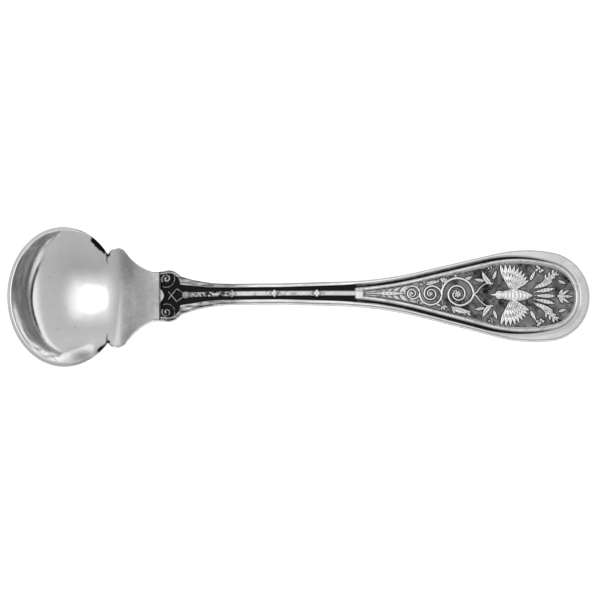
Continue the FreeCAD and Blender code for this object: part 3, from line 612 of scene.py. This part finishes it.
def build(name, points, faces, caps, values):
    """A mesh object with its tarnish and painted light, which rides with the spoon and stands for
    its solid.
    """
    sizes = np.concatenate([np.full(len(faces), 4), [len(one) for one in caps]]).astype(np.int32)
    corners = np.concatenate([faces.ravel()] + [np.asarray(one) for one in caps]).astype(np.int32)
    mesh = bpy.data.meshes.new(name)
    mesh.vertices.add(len(points))
    mesh.vertices.foreach_set("co", (points * 0.001).astype(np.float32).ravel())
    mesh.loops.add(len(corners))
    mesh.loops.foreach_set("vertex_index", corners)
    mesh.polygons.add(len(sizes))
    starts = np.concatenate([[0], np.cumsum(sizes)[:-1]]).astype(np.int32)
    mesh.polygons.foreach_set("loop_start", starts)
    mesh.polygons.foreach_set("use_smooth", np.ones(len(sizes), dtype=bool))
    mesh.update(calc_edges=True)
    mesh.validate()
    attribute = mesh.attributes.new("tarnish_and_painted_light", "FLOAT", "POINT")
    attribute.data.foreach_set("value", values.astype(np.float32))
    piece = bpy.data.objects.new(name, mesh)
    bpy.context.collection.objects.link(piece)
    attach(piece, "root")
    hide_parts("salt_spoon")
    return piece


top_used, top_numbers = numbered(full_x.shape[1], 0)
low_used, low_numbers = numbered(low_full_x.shape[1], len(top_used))
points = np.concatenate([
    np.stack([full_x, full_y, top_z], -1).reshape(-1, 3)[top_used],
    np.stack([low_full_x, low_full_y, low_full_z], -1).reshape(-1, 3)[low_used],
])
sides = []
for column_side, flip in ((0, False), (-1, True)):
    strip = np.stack([top_numbers[:, column_side], low_numbers[:, column_side]], 1)
    sides.append(quads(strip, not flip))
faces = np.concatenate([quads(top_numbers, True), quads(low_numbers, False)] + sides)
values = np.full(len(points), 0.2)  # the underside is a little dull
values[:len(top_used)] = tarnish_and_painted_light.reshape(-1)[top_used]
pieces = [build("spoon_silver", points, faces, [], values)]


# The carved pieces: strokes with a domed section, on a fine grid between two places along X

class Carving:
    """A grid whose rows spread between a half-width at each place, and what is carved on it."""

    def __init__(self, start, end, half_width, count_x, count_y):
        across = np.linspace(-1, 1, count_y)[None]
        self.x = np.repeat(np.linspace(start, end, count_x)[:, None], count_y, axis=1)
        self.y = half_width(self.x) * across
        self.relief = np.zeros(self.x.shape)
        self.halo = np.full(self.x.shape, 9.0)

    def stroke(self, path, width):
        """Each point's distance from a stroke's middle as a share of its half-width,
        and how far it is outside the stroke."""
        path = np.asarray(path, float)
        width = np.broadcast_to(np.asarray(width, float), len(path))
        margin = width.max() + 0.5
        near = ((self.x > path[:, 0].min() - margin) & (self.x < path[:, 0].max() + margin)
                & (self.y > path[:, 1].min() - margin) & (self.y < path[:, 1].max() + margin))
        share, outside = np.full(self.x.shape, 9.0), np.full(self.x.shape, 9.0)
        if not near.any():
            return share, outside
        points = np.stack([self.x[near], self.y[near]], 1)
        best, gap_out = np.full(len(points), 9.0), np.full(len(points), 9.0)
        for start, end, half, half_end in zip(path[:-1], path[1:], width[:-1], width[1:]):
            step = end - start
            offset = points - start
            place = np.clip(offset @ step / max(step @ step, 1e-12), 0, 1)
            gap = np.hypot(*(offset - place[:, None] * step).T)
            here = half + place * (half_end - half)
            best = np.minimum(best, gap / np.maximum(here, 1e-3))
            gap_out = np.minimum(gap_out, gap - here)
        share[near], outside[near] = best, gap_out
        return share, outside

    def carve(self, path, width, height=1.0, flat=0.5):
        """Raises a stroke: domed, with a flatter top the nearer flat is to 1."""
        share, outside = self.stroke(path, width)
        dome = np.sqrt(np.clip(1 - share ** 2, 0, 1))
        dome = height * (dome * (1 - flat) + flat * smooth(dome * 1.7))
        self.relief = np.maximum(self.relief, dome)
        self.halo = np.minimum(self.halo, outside)

    def over(self, path, width, height, flat=0.5):
        """A stroke that lies on top of others, with a fine cut round it."""
        share, outside = self.stroke(path, width)
        cut = smooth(0.35 + 0.65 * outside / 0.1)
        self.relief = self.relief * np.where(outside > 0, cut, 1)
        self.carve(path, width, height, flat)

    def groove(self, path, width, depth):
        """Cuts a fine line into what stands up."""
        share, _ = self.stroke(path, width)
        self.relief = self.relief - depth * np.clip(1 - share ** 2, 0, 1) * (self.relief > 0.05)

    def dot(self, centre, radius, height=1.0, flat=0.1):
        self.carve([centre, (centre[0] + 0.01, centre[1])], radius, height, flat)

    def leaf(self, centre, length, width, degrees, height=0.9, veins=3, point=0.75, bend=0.0):
        """A pointed leaf or feather with a midrib and side veins, which may bend aside."""
        places = np.linspace(0, 1, 16)
        tail = along(centre, degrees + 180, length / 2)
        line = [along(along(tail, degrees, length * place), degrees + 90,
                      bend * length * math.sin(math.pi * place)) for place in places]
        half = width / 2 * np.sin(np.pi * np.clip(places, 0.03, 0.97) ** point) ** 0.8
        self.over(line, half, height, 0.6)
        self.groove(line[1:-2], width * 0.08 + 0.012, 0.4 * height)
        for number in range(veins):
            index = int(3 + 9 * number / max(veins, 1))
            for side_ in (1, -1):
                tip = along(line[index], degrees + side_ * 40, width * 0.42)
                self.groove([line[index], tip], width * 0.05 + 0.01, 0.28 * height)

    def piece(self, name, floor, lift, root, values):
        """The carving as a closed solid, rooted in the metal."""
        count_x, count_y = self.x.shape
        top = np.stack([self.x, self.y, floor + lift * self.relief], -1)
        low = top[:, [0, -1]].copy()
        low[..., 2] = (stem_top(self.x) - root)[:, [0, -1]]
        numbers = np.arange(count_x * count_y).reshape(count_x, count_y)
        edge = np.arange(count_x * 2).reshape(count_x, 2) + count_x * count_y
        skin = np.concatenate([
            quads(numbers, False), quads(edge, True),
            quads(np.stack([edge[:, 0], numbers[:, 0]], 1), False),
            quads(np.stack([numbers[:, -1], edge[:, 1]], 1), False)])
        caps = [np.concatenate([numbers[0, ::-1], edge[0]]),
                np.concatenate([numbers[-1], edge[-1, ::-1]])]
        values = np.concatenate([values.ravel(), np.ones(count_x * 2)])
        corners = np.concatenate([top.reshape(-1, 3), low.reshape(-1, 3)])
        return build(name, corners, skin, caps, values)


def half_of(path, extra):
    return lambda x: np.interp(x, path[:, 0], path[:, 1]) + extra


# Stem: volutes and an interlaced lattice at its head, then a rib with lozenge beads
x_lattice = X_STEP + LATTICE_REACH
x_rib = x_lattice + LATTICE_LENGTH
stem = Carving(
    X_STEP + GROUND_FRONT - 0.04, X_FRAME + 0.12, half_of(ground_outline, 0.05), 600, 78)
stem.carve([(x_rib - 0.1, 0), (X_FRAME + 0.3, 0)], RIB_WIDTH / 2 + 0.04, 0.92, 0.75)
for number in range(3):
    x_bead = x_rib + BEAD_REACH + BEAD_PITCH * number
    share = np.abs(stem.x - x_bead) / (BEAD_LENGTH / 2) + np.abs(stem.y) / (BEAD_WIDTH / 2)
    cut = smooth(0.4 + np.abs(share - 1.08) / 0.12)
    stem.relief = np.maximum(stem.relief * cut, rise(1.04 - share, 0, 0.3))
    stem.halo = np.minimum(stem.halo, (share - 1) * 0.5)
knee_x = x_lattice + LATTICE_LENGTH * 0.45
for side in (1, -1):
    knee = (knee_x, LATTICE_WIDTH / 2 * side)
    for bar in ([(x_lattice - 0.02, -0.56 * side), knee], [knee, (x_rib - 0.05, 0)]):
        stem.over(bar, 0.15, 0.95, 0.3)
    eye = (X_STEP + SCROLL_REACH, SCROLL_OFFSET * side)
    turns = np.linspace(0, 1, 80)
    radii = (SCROLL_RADIUS + 0.06) * (1 - 0.8 * turns)
    spiral = turned(eye, radii, np.radians(side * (215 - 450 * turns)))
    stem.carve(spiral, 0.18 + 0.05 * turns, 1.0, 0.4)
    stem.carve([along(eye, side * angle, 1.36) for angle in np.linspace(42, -118, 40)],
               np.interp(np.arange(40), (0, 8, 39), (0.04, 0.1, 0.07)), 0.8, 0.3)
stem.over([(x_rib - 0.15, 0), (x_rib + 0.55, 0), (x_rib + 0.95, 0)], [0.66, 0.52, 0.42], 1.0, 0.3)
deep = fall(stem.relief, 0, 0.5)
blotch = 0.5 * noise(stem.x, stem.y, 0.3, 31) + 0.5 * noise(stem.x, stem.y, 0.9, 32)
tops = 0.42 + 0.3 * fall(stem.x, -13, 5) * blotch + 0.2 * rise(blotch, 0.55, 0.2)
tops += 0.75 * rise(noise(stem.x, stem.y, 0.25, 33), 0.55, 0.25) * peak(stem.x + 14.4, 2.0)
dark = np.maximum(deep, np.clip(tops, 0, 1) * (1 - deep))
ROOT = 0.3  # how far the carved pieces reach down into the metal
pieces.append(stem.piece("stem_relief", stem_top(stem.x) - GROUND_DEPTH,
                         GROUND_DEPTH - FRAME_DROP, GROUND_DEPTH + ROOT, dark))

# Panel: a vine that swings from side to side, with curls, leaves and flowers
panel_half = half_of(panel_outline, 0.04)
panel = Carving(X_PANEL - 0.04, panel_outline[-1, 0] - 0.012, panel_half, 640, 150)


def room(x):
    """Half of the panel's width at a place."""
    return float(np.interp(x, panel_outline[:, 0], panel_outline[:, 1]))


x_swing, swing = X_PANEL + VINE_REACH, SWING_RADIUS
joints = []
for number in range(3):
    side = 1 if number % 2 == 0 else -1
    middle, thick = (x_swing + swing, 0), VINE_WIDTH / 2 * (0.72 + 0.17 * swing)
    # Leaves on the outer side of the swing and beside its curl
    for degrees, lean, size in ((128, 150, 0.5), (62, 30, 0.5), (96, 100, 0.36)):
        foot = along(middle, degrees * side, swing * 0.98)
        length = min(size * swing, (room(foot[0]) - abs(foot[1])) * 1.15)
        if length > 0.3:
            panel.leaf(
                along(foot, lean * side, length / 2), length, length * 0.5, lean * side, 0.7, 2)
    outer = along(middle, -78 * side, swing * 0.98)
    lean = -14 * side
    for place, turn in ((-0.42, -62), (-0.2, -50), (0.05, -44), (0.28, -38)):
        root = along(outer, lean, swing * place * 1.25)
        panel.leaf(along(root, lean + turn * side, swing * 0.17), swing * 0.46, swing * 0.2,
                   lean + turn * side, 0.66, 1)
    panel.leaf(outer, swing * 1.25, swing * 0.36, lean, 0.86, 4, 0.85, -0.06 * side)
    panel.over(arc(middle, swing, 182 * side, 0, 60), thick, 0.95, 0.55)
    turns = np.linspace(0, 610, 110)
    radii = np.interp(turns, (0, 45, 110, 225, 420, 610), (1.0, 0.8, 0.64, 0.56, 0.4, 0.24))
    curl = turned(middle, swing * radii, np.radians(-side * turns))
    panel.over(curl, thick * np.linspace(1, 0.6, 110), 0.95, 0.55)
    if number:
        for petal in range(5 + number):
            degrees = 360 * petal / (5 + number) + 15
            panel.leaf(along(middle, degrees, swing * 0.12), swing * 0.2, swing * 0.12,
                       degrees, 0.9, 0, 1.2)
    panel.dot(middle, swing * (0.08 if number else 0.2), 1.0)
    x_swing += 2 * swing
    joints.append(x_swing)
    swing *= SWING_GROWTH
# Small shoots with berries where the swings meet
for number, x_joint in enumerate(joints[:2]):
    size = 0.7 + 0.35 * number
    for side in (1, -1):
        height = room(x_joint) * 0.66 * side
        shoot = [(x_joint - 0.1, 0.1 * side), (x_joint, height * 0.5), (x_joint + 0.2, height)]
        panel.carve(shoot, [0.09, 0.07, 0.05], 0.7)
        for turn in (-48, 0, 48):
            degrees = 70 * side + turn
            middle = along((x_joint + 0.2, height), degrees, size * 0.4)
            panel.leaf(middle, size * 0.75, size * 0.32, degrees, 0.75, 1)

# The narrow end: a bud on its stalk, with pairs of leaves
x_bud = X_PANEL + VINE_REACH - BUD_LENGTH / 2
for number, x_leaf in enumerate((12.2, 13.1, 14.1, 15.2, 16.4)):
    for side in (1, -1):
        spare = room(x_leaf + 0.5) - 0.1
        panel.leaf((x_leaf + 0.55, spare * 0.52 * side), 0.75 + 0.3 * number, 0.3 + 0.09 * number,
                   (20 + 5 * number) * side, 0.6, 1, bend=0.08 * side)
panel.leaf((x_bud, 0), BUD_LENGTH, BUD_WIDTH, 0, 0.9, 4, 0.9)
panel.carve([(X_PANEL + 0.2, 0), (x_bud - 1.9, 0)], [0.1, 0.14], 0.8)

# The vine forks into sprigs at the bird's head
x_bird = X_END - BIRD_REACH
for side in (1, -1):
    fork = [(joints[2], 0), (28.75, 0.35 * side), (29.3, 1.1 * side), (30.1, 1.75 * side),
            (31.1, 1.9 * side)]
    panel.carve(fork, [0.17, 0.15, 0.13, 0.11, 0.05], 0.8)
    panel.dot((31.35, 1.86 * side), 0.2, 0.9)
    panel.leaf((30.4, 2.75 * side), 2.5, 0.85, 125 * side, 0.85, 4, bend=0.08 * side)
    panel.leaf((29.15, 2.35 * side), 1.5, 0.55, 170 * side, 0.7, 2)
    panel.leaf((31.75, 3.3 * side), 1.5, 0.55, 70 * side, 0.7, 2)
    panel.carve([(30.9, 3.7 * side), (31.3, 4.4 * side)], 0.06, 0.6)
    for berry in ((31.15, 4.55), (30.75, 4.3), (31.6, 4.75)):
        panel.dot((berry[0], berry[1] * side), 0.2, 0.85)
    # Behind the wings: sprigs that curl towards the end, and berries
    stalk = [(38.3, 1.35 * side), (38.9, 1.75 * side), (39.6, 2.1 * side)]
    panel.carve(stalk, [0.06, 0.1, 0.12], 0.7)
    panel.leaf((40.82, 3.12 * side), 3.3, 0.86, 38 * side, 0.85, 5, bend=-0.06 * side)
    for place, turn in ((-0.9, 52), (-0.2, 46), (0.5, 40), (-0.7, -50), (0.0, -44), (0.7, -38)):
        root = along((40.82, 3.12 * side), 38 * side, place)
        panel.leaf(along(root, (38 + turn) * side, 0.62), 0.85, 0.36, (38 + turn) * side, 0.68, 1)
    for berry in ((39.62, 4.2), (39.1, 4.5), (39.25, 3.95), (38.65, 4.2), (38.8, 4.8)):
        panel.dot((berry[0], berry[1] * side), 0.27, 0.95)
    panel.leaf((38.0, 3.3 * side), 1.7, 0.6, 62 * side, 0.75, 2)
    panel.leaf((42.9, 2.3 * side), 1.3, 0.5, -20 * side, 0.7, 2)
for turn, length in ((62, 1.2), (-62, 1.2), (32, 1.9), (-32, 1.9), (0, 2.3)):
    panel.leaf(along((42.3, 0), turn, length / 2 + 0.1), length, 0.5, turn, 0.8, 2, 1.1)
panel.dot((42.25, 0), 0.3, 1.0)

# The bird, seen from above with both wings spread, in three layers of feathers
for number in range(5):
    degrees = 11 * (number - 2)
    panel.leaf(along((x_bird, 0), degrees, BIRD_LENGTH * 0.4 + 2.0), 3.9, 0.72, degrees,
               0.7 + 0.08 * (2 - abs(number - 2)), 5, 1.8)
for side in (1, -1):
    shoulder = (x_bird - BIRD_LENGTH * 0.14, BIRD_WIDTH / 4 * side)
    for row, (share, tall, count) in enumerate(((1.14, 0.66, 9), (0.76, 0.8, 8), (0.42, 0.94, 6))):
        for number in range(count):
            degrees = (112 - 78 * number / (count - 1)) * side
            feather = WING_LENGTH * share * (1 - 0.3 * number / (count - 1))
            panel.leaf(along(shoulder, degrees, feather / 2 + 0.15), feather, 0.72 - 0.1 * row,
                       degrees, tall, 3 if row == 0 else 0, 1.7, 0.03 * side)
places = np.linspace(0, 1, 30)
body = BIRD_WIDTH * 0.46 * np.sin(np.pi * np.clip(0.12 + 0.85 * places, 0, 1)) ** 0.8
spine_line = [(x_bird - 2.6 + 5.2 * place, 0) for place in places]
panel.over(spine_line, np.clip(body, 0.06, None), 1.0, 0.1)
x_head = x_bird - BIRD_LENGTH * 0.48
for row in range(6):
    for number in range(-2, 3):
        centre = (x_head + 1.3 + 0.62 * row, 0.36 * (number + 0.5 * (row % 2)))
        if abs(centre[1]) < 0.85 - 0.08 * row:
            panel.groove(arc(centre, 0.26, -75, 75, 9), 0.045, 0.3)
panel.over([(x_head, 0), (x_head + 0.3, 0)], [BIRD_WIDTH * 0.34, BIRD_WIDTH * 0.32], 1.06, 0.1)
panel.over([(x_head - 0.6, 0), (x_head - 1.45, 0)], [0.3, 0.04], 0.95, 0.2)
panel.groove([(x_head - 0.62, 0), (x_head - 1.35, 0)], 0.04, 0.3)
for side in (1, -1):
    panel.groove(arc((x_head - 0.12, 0.34 * side), 0.14, 0, 360, 13), 0.04, 0.5)

# Tarnish in the panel: black outlines, a grey ground, rubbed lighter in the narrow end
blotch = 0.5 * noise(panel.x, panel.y, 0.5, 41) + 0.5 * noise(panel.x, panel.y, 1.5, 42)
unrubbed = rise(panel.x, 14, 9)
end_gap = np.minimum(panel.x - X_PANEL, panel_outline[-1, 0] - panel.x) + 0.04
to_frame = np.minimum((panel_half(panel.x) - np.abs(panel.y)) * 0.97, end_gap)
outlines = peak(np.clip(panel.halo, 0, None), 0.26) * fall(panel.relief, 0, 0.5)
beside_frame = peak(np.clip(to_frame - 0.04, 0, None), 0.27)
ground = (0.79 + 0.4 * (blotch - 0.45)) * fall(panel.relief, 0, 0.3)
cuts = 0.75 * rise(0.5 - panel.relief, 0, 0.2) * rise(panel.relief, 0, 0.1)
dark = np.maximum.reduce([
    outlines * (0.85 + 0.15 * unrubbed), beside_frame, ground * (0.2 + 0.8 * unrubbed),
    cuts * (0.4 + 0.6 * unrubbed)])
panel_floor = stem_top(panel.x) - PANEL_DEPTH - 0.02 * noise(panel.x, panel.y, 0.7, 43)
pieces.append(panel.piece("panel_relief", panel_floor, PANEL_DEPTH - FRAME_DROP,
                          PANEL_DEPTH + ROOT, np.clip(dark, 0, 1)))


# Materials

def material(name):
    made = bpy.data.materials.new(name)
    made.use_nodes = True
    tree = made.node_tree
    return made, tree, tree.nodes["Principled BSDF"]


def node(tree, kind, inputs=(), **settings):
    """A node with its settings, its inputs linked or set."""
    made = tree.nodes.new(kind)
    for key, value in settings.items():
        setattr(made, key, value)
    for key, value in dict(inputs).items():
        if isinstance(value, bpy.types.NodeSocket):
            tree.links.new(value, made.inputs[key])
        else:
            made.inputs[key].default_value = value
    return made


def maths(tree, operation, *inputs):
    return node(tree, "ShaderNodeMath", dict(enumerate(inputs)), operation=operation).outputs[0]


def mapped(tree, value, low, high, to_low, to_high, kind="LINEAR"):
    return node(tree, "ShaderNodeMapRange", {
        "Value": value, "From Min": low, "From Max": high, "To Min": to_low, "To Max": to_high},
        interpolation_type=kind).outputs[0]


silver, tree, shader = material("aged_silver_with_painted_light")
shader.inputs["Metallic"].default_value = 1.0
place = node(tree, "ShaderNodeTexCoord").outputs["Object"]
# The tarnish attribute holds tarnish together with painted shade and painted reflections; it
# darkens the base colour
patina_and_painted_light = node(tree, "ShaderNodeAttribute", attribute_name="tarnish_and_painted_light").outputs["Fac"]
cloud, grain = (
    node(tree, "ShaderNodeTexNoise",
         {"Vector": place, "Scale": scale, "Detail": detail, "Roughness": 0.6}).outputs["Fac"]
    for scale, detail in ((260.0, 6.0), (2600.0, 3.0)))
speck = maths(tree, "SUBTRACT", grain, 0.5)
speck = maths(tree, "MULTIPLY", speck, mapped(tree, patina_and_painted_light, 0.0, 0.5, 0.0, 0.22))
dark = maths(tree, "ADD", patina_and_painted_light, speck)
dark = mapped(tree, dark, 0.0, 0.96, 0.0, 1.0)
tone = mapped(tree, cloud, 0.3, 0.7, 0.78, 0.85)
pale = node(tree, "ShaderNodeCombineColor", {"Red": tone, "Green": tone, "Blue": tone})
colour = node(tree, "ShaderNodeMix", {0: dark}, data_type="RGBA")
tree.links.new(pale.outputs[0], colour.inputs[6])
colour.inputs[7].default_value = (0.012, 0.012, 0.012, 1)
tree.links.new(colour.outputs[2], shader.inputs["Base Color"])
rough = mapped(tree, cloud, 0.25, 0.75, 0.09, 0.14)
rough = maths(tree, "ADD", mapped(tree, dark, 0.3, 1.0, 0.0, 0.3), rough)
tree.links.new(rough, shader.inputs["Roughness"])
scratch = node(tree, "ShaderNodeMapping", {
    "Vector": place, "Scale": (300.0, 4200.0, 900.0), "Rotation": (0.0, 0.0, 0.5)})
scratch = node(tree, "ShaderNodeTexNoise", {
    "Vector": scratch.outputs[0], "Scale": 1.0, "Detail": 5.0})
wave = node(tree, "ShaderNodeTexNoise", {"Vector": place, "Scale": 300.0, "Detail": 2.0})
total = maths(tree, "MULTIPLY_ADD", scratch.outputs["Fac"], 0.2, wave.outputs["Fac"])
bump = node(tree, "ShaderNodeBump", {"Height": total, "Strength": 0.3, "Distance": 0.00005})
tree.links.new(bump.outputs[0], shader.inputs["Normal"])
for piece in pieces:
    piece.data.materials.append(silver)

# Floor: white to the camera and in the silver, with the spoon's own faint shadow
bpy.ops.mesh.primitive_plane_add(size=6)
floor = bpy.context.object
floor.name = "floor"
paper, tree, shader = material("white_paper")
shader.inputs["Base Color"].default_value = (0.8, 0.8, 0.8, 1)
shader.inputs["Roughness"].default_value = 0.9
shader.inputs["Specular IOR Level"].default_value = 0.1
path = node(tree, "ShaderNodeLightPath")
seen = maths(tree, "MAXIMUM", path.outputs["Is Camera Ray"], path.outputs["Is Glossy Ray"])
seen = maths(tree, "MAXIMUM", seen, path.outputs["Is Transmission Ray"])
glow = maths(tree, "MULTIPLY", seen, 0.62)
shader.inputs["Emission Color"].default_value = (1, 1, 1, 1)
tree.links.new(glow, shader.inputs["Emission Strength"])
floor.data.materials.append(paper)

# World: a soft ceiling, a round soft lamp above the bowl, a dark card low behind the handle
world = bpy.data.worlds.new("studio")
bpy.context.scene.world = world
world.use_nodes = True
tree = world.node_tree
sky = tree.nodes["Background"]
direction = node(tree, "ShaderNodeTexCoord").outputs["Generated"]
split = node(tree, "ShaderNodeSeparateXYZ", {"Vector": direction})
across, back, up = split.outputs["X"], split.outputs["Y"], split.outputs["Z"]
horizon = maths(tree, "MULTIPLY_ADD", back, 0.06, 0.6)
ceiling = mapped(tree, up, 0.1, 0.85, 0.0, 1.0, "SMOOTHSTEP")
ambient = maths(tree, "MULTIPLY_ADD", ceiling, -0.1, horizon)


def spot(centre, wide, tall):
    """Distance from a point of the sky, as a share of an oval's size there."""
    centre = Vector(centre).normalized()
    side_axis = Vector((0, 1, 0)).cross(centre).normalized()
    up_axis = centre.cross(side_axis)
    shares = []
    for axis, size in ((side_axis, wide), (up_axis, tall)):
        dot = node(tree, "ShaderNodeVectorMath", {0: direction, 1: tuple(axis)},
                   operation="DOT_PRODUCT").outputs["Value"]
        share = maths(tree, "ABSOLUTE", maths(tree, "DIVIDE", dot, size))
        shares.append(maths(tree, "POWER", share, 2.0))
    below = mapped(tree, up, 0.0, 0.2, 9.0, 0.0)
    return maths(tree, "ADD", maths(tree, "SQRT", maths(tree, "ADD", *shares)), below)


LAMP, SECOND_LAMP = (-0.2165, 0.08, 0.9725), (0.34, 0.118, 0.94)
core = mapped(tree, spot(LAMP, 0.42, 0.33), 0.55, 1.2, 0.65, 0.0, "SMOOTHSTEP")
halo = mapped(tree, spot(LAMP, 1.0, 0.8), 0.35, 1.0, 0.42, 0.0, "SMOOTHSTEP")
second = mapped(tree, spot(SECOND_LAMP, 0.45, 0.6), 0.3, 1.1, 0.28, 0.0, "SMOOTHSTEP")
light = maths(tree, "ADD", maths(tree, "ADD", ambient, second), maths(tree, "ADD", core, halo))
card = node(tree, "ShaderNodeValToRGB")
ramp = card.color_ramp
ramp.elements[0].position, ramp.elements[0].color = 0.0, (0.42, 0.42, 0.42, 1)
ramp.elements[1].position, ramp.elements[1].color = 1.0, (1.0, 1.0, 1.0, 1)
for position, level in (
        (0.34, 0.5), (0.37, 0.1), (0.45, 0.1), (0.47, 1.9), (0.62, 1.8), (0.7, 1.0)):
    ramp.elements.new(position).color = (level, level, level, 1)
facing = mapped(tree, across, 0.15, 0.95, 0.05, 0.56)
card_place = maths(tree, "DIVIDE", up, facing)
tree.links.new(card_place, card.inputs["Fac"])
toward = mapped(tree, across, 0.1, 0.4, 0.0, 1.0, "SMOOTHSTEP")
held = node(tree, "ShaderNodeMix", {0: toward, 2: 1.0, 3: card.outputs["Color"]}, data_type="FLOAT")
tree.links.new(maths(tree, "MULTIPLY", light, held.outputs[0]), sky.inputs["Color"])
sky.inputs["Strength"].default_value = 1.0

# Camera: almost straight down, leaning back a little and turned by a hair
camera = bpy.data.objects.new("camera", bpy.data.cameras.new("camera"))
bpy.context.collection.objects.link(camera)
TILT, ROLL = math.radians(6.8), math.radians(-0.33)
DISTANCE, PICTURE_WIDTH, SENSOR_WIDTH = 0.62, 0.09777, 36
middle = Vector((0.0, -0.00057, 0.0045))
camera.data.sensor_width = SENSOR_WIDTH
camera.data.lens = SENSOR_WIDTH * DISTANCE / PICTURE_WIDTH
camera.location = middle + DISTANCE * Vector((0, -math.sin(TILT), math.cos(TILT)))
camera.rotation_mode = "QUATERNION"
camera.rotation_quaternion = (
    (middle - camera.location).to_track_quat("-Z", "Y") @ Quaternion((0, 0, 1), ROLL))
bpy.context.scene.camera = camera

bpy.context.scene.view_settings.view_transform = "Standard"
